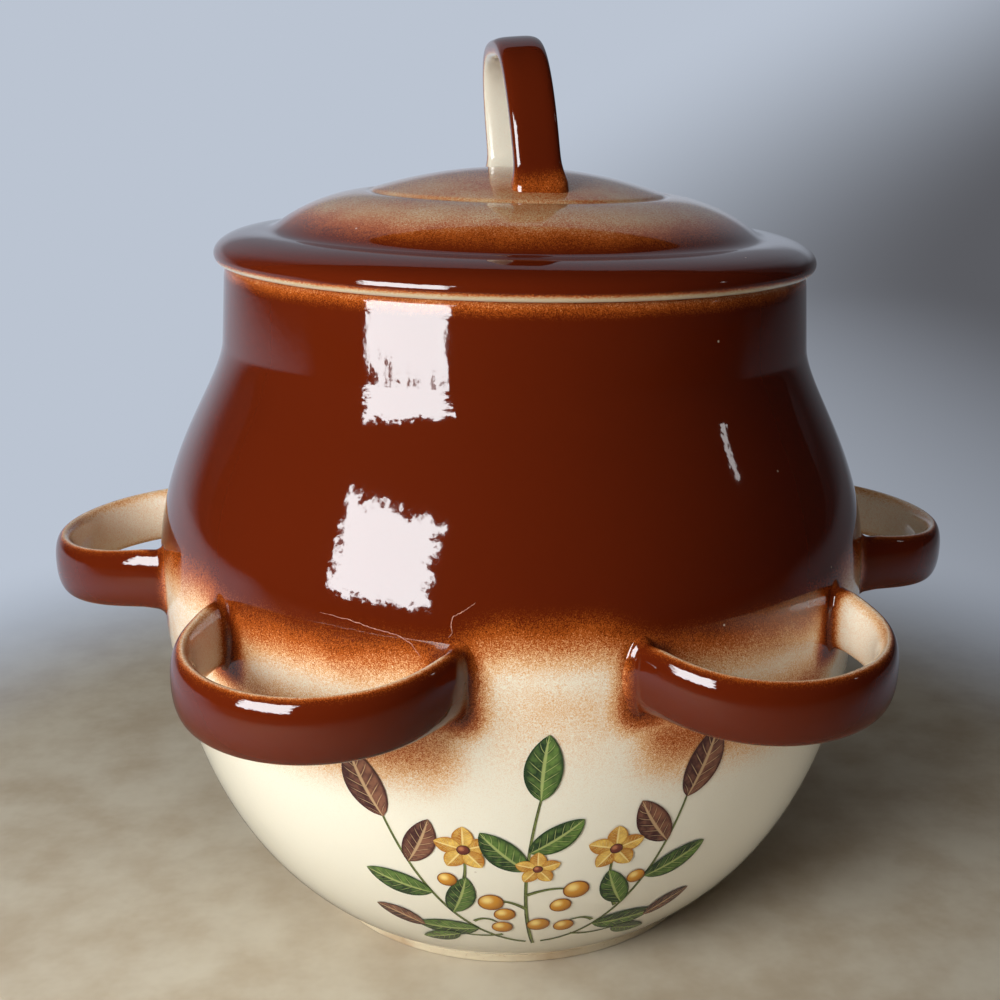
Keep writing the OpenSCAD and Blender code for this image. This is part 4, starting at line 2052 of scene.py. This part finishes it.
@dataclass(frozen=True)
class Lamp:
    """A soft panel that hangs round the pot and faces its belly.

    The azimuth is in degrees from the front, positive towards +X, and the
    elevation in degrees above the belly. Distance and size are in metres, the
    power in watts. A lamp may show in the glaze, be frayed, or face upwards.
    """

    name: str
    azimuth: float
    elevation: float
    distance: float
    size: Point
    power: float
    tint: Colour = (1.0, 1.0, 1.0)
    in_glaze: bool = False
    frayed: bool = False
    upwards: bool = False
    belly: tuple[float, float, float] = (0.0, 0.0, 0.16)

    def hang(self) -> None:
        """Makes the light and turns it to the belly, or upwards."""
        data = bpy.data.lights.new(self.name, "AREA")
        data.shape = "RECTANGLE"
        data.size, data.size_y = self.size
        data.energy = self.power
        data.color = self.tint
        lamp = bpy.data.objects.new(self.name, data)
        lamp.visible_camera = False
        lamp.visible_glossy = self.in_glaze
        a, e = math.radians(self.azimuth), math.radians(self.elevation)
        flat = math.cos(e)
        back = np.array([math.sin(a) * flat, -math.cos(a) * flat, math.sin(e)])
        lamp.location = back * self.distance + self.belly
        lamp.rotation_euler = (math.pi / 2 - e, 0.0, a)
        if self.upwards:
            lamp.rotation_euler = (math.pi, 0.0, 0.0)
        if self.frayed:
            self.fray(data)
        bpy.context.scene.collection.objects.link(lamp)

    def fray(self, data: bpy.types.AreaLight) -> None:
        """Frays the panel's edges and streaks it with a noise.

        The light is full where the distance to the nearest edge plus the noise
        passes a threshold.

        Args:
            data: The light's data.
        """
        scale, depth, threshold = 7.0, 0.75, (0.015, 0.05)
        data.use_nodes = True
        n = Nodes(data.node_tree)
        place = n.add("ShaderNodeNewGeometry").outputs["Parametric"]
        u, v, _ = n.coordinates(place)
        sides = [n.math("ABSOLUTE", n.math("SUBTRACT", w, 0.5)) for w in (u, v)]
        inside = n.math("SUBTRACT", 0.5, n.math("MAXIMUM", *sides))
        ragged = n.math("SUBTRACT", n.noise(scale, 6.0, 0.68, place), 0.5)
        lit = n.step(n.math("MULTIPLY_ADD", ragged, depth, inside), *threshold)
        shader = next(node for node in n.tree.nodes if node.type == "EMISSION")
        n.tree.links.new(lit, shader.inputs["Strength"])


@dataclass
class Studio:
    """The camera, the backdrop, the soft lights and the dim air."""

    air: Colour = srgb(206, 210, 216)
    air_strength: float = 0.05
    air_in_glaze: float = 0.015
    lamps: tuple[Lamp, ...] = (
        Lamp(
            "window",
            azimuth=-42.5,
            elevation=13.9,
            distance=0.6,
            size=(0.33, 0.292),
            power=4.5,
            tint=(0.94, 0.98, 1.0),
            in_glaze=True,
            frayed=True,
        ),
        Lamp("far_window", 76.0, 24.0, 1.5, (0.04, 0.09), 0.05, in_glaze=True),
        Lamp("room", -45.0, 28.0, 1.6, (1.2, 1.0), 4.4),
        Lamp("overhead", -12.0, 76.0, 1.8, (1.6, 1.6), 5.2),
        Lamp("floor_bounce", 46.0, -28.5, 0.33, (0.24, 0.24), 0.13, upwards=True),
    )

    def build(self) -> None:
        """Sets up the whole studio."""
        Camera().build()
        Backdrop().build()
        for lamp in self.lamps:
            lamp.hang()
        self.fill_air()
        bpy.context.scene.view_settings.view_transform = "Standard"

    def fill_air(self) -> None:
        """Gives the world a faint even light, fainter in the glaze."""
        world = bpy.data.worlds.new("studio")
        world.use_nodes = True
        n = Nodes(world.node_tree)
        sky = n.tree.nodes["Background"]
        sky.inputs["Color"].default_value = (*self.air, 1.0)
        mirrored = n.add("ShaderNodeLightPath").outputs["Is Glossy Ray"]
        less = self.air_in_glaze - self.air_strength
        strength = n.math("MULTIPLY_ADD", mirrored, less, self.air_strength)
        n.tree.links.new(strength, sky.inputs["Strength"])
        bpy.context.scene.world = world


def main() -> None:
    """Builds the pot, the lid and the studio, and reports each piece."""
    logging.basicConfig(level=logging.INFO, format="%(name)s %(message)s")
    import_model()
    spray_group()
    surface_group()
    ink_group()
    paler = {"base": srgb(214, 198, 170), "tan": srgb(198, 164, 120)}
    glazes = {
        Slot.POT: Glaze("pot_glaze").build(),
        Slot.LOOP: Glaze("loop_glaze").build(),
        Slot.LID: Glaze("lid_glaze", **paler).build(),
        Slot.HANDLE: Glaze("handle_glaze").build(),
        Slot.BARE: BareClay("bare_stoneware").build(),
    }
    Studio().build()
    pot = Pot()
    pot.build(glazes)
    FrontPrint().build(pot)
    HairCracks().build(pot)
    Lid().build(glazes)


if __name__ == "__main__":
    main()
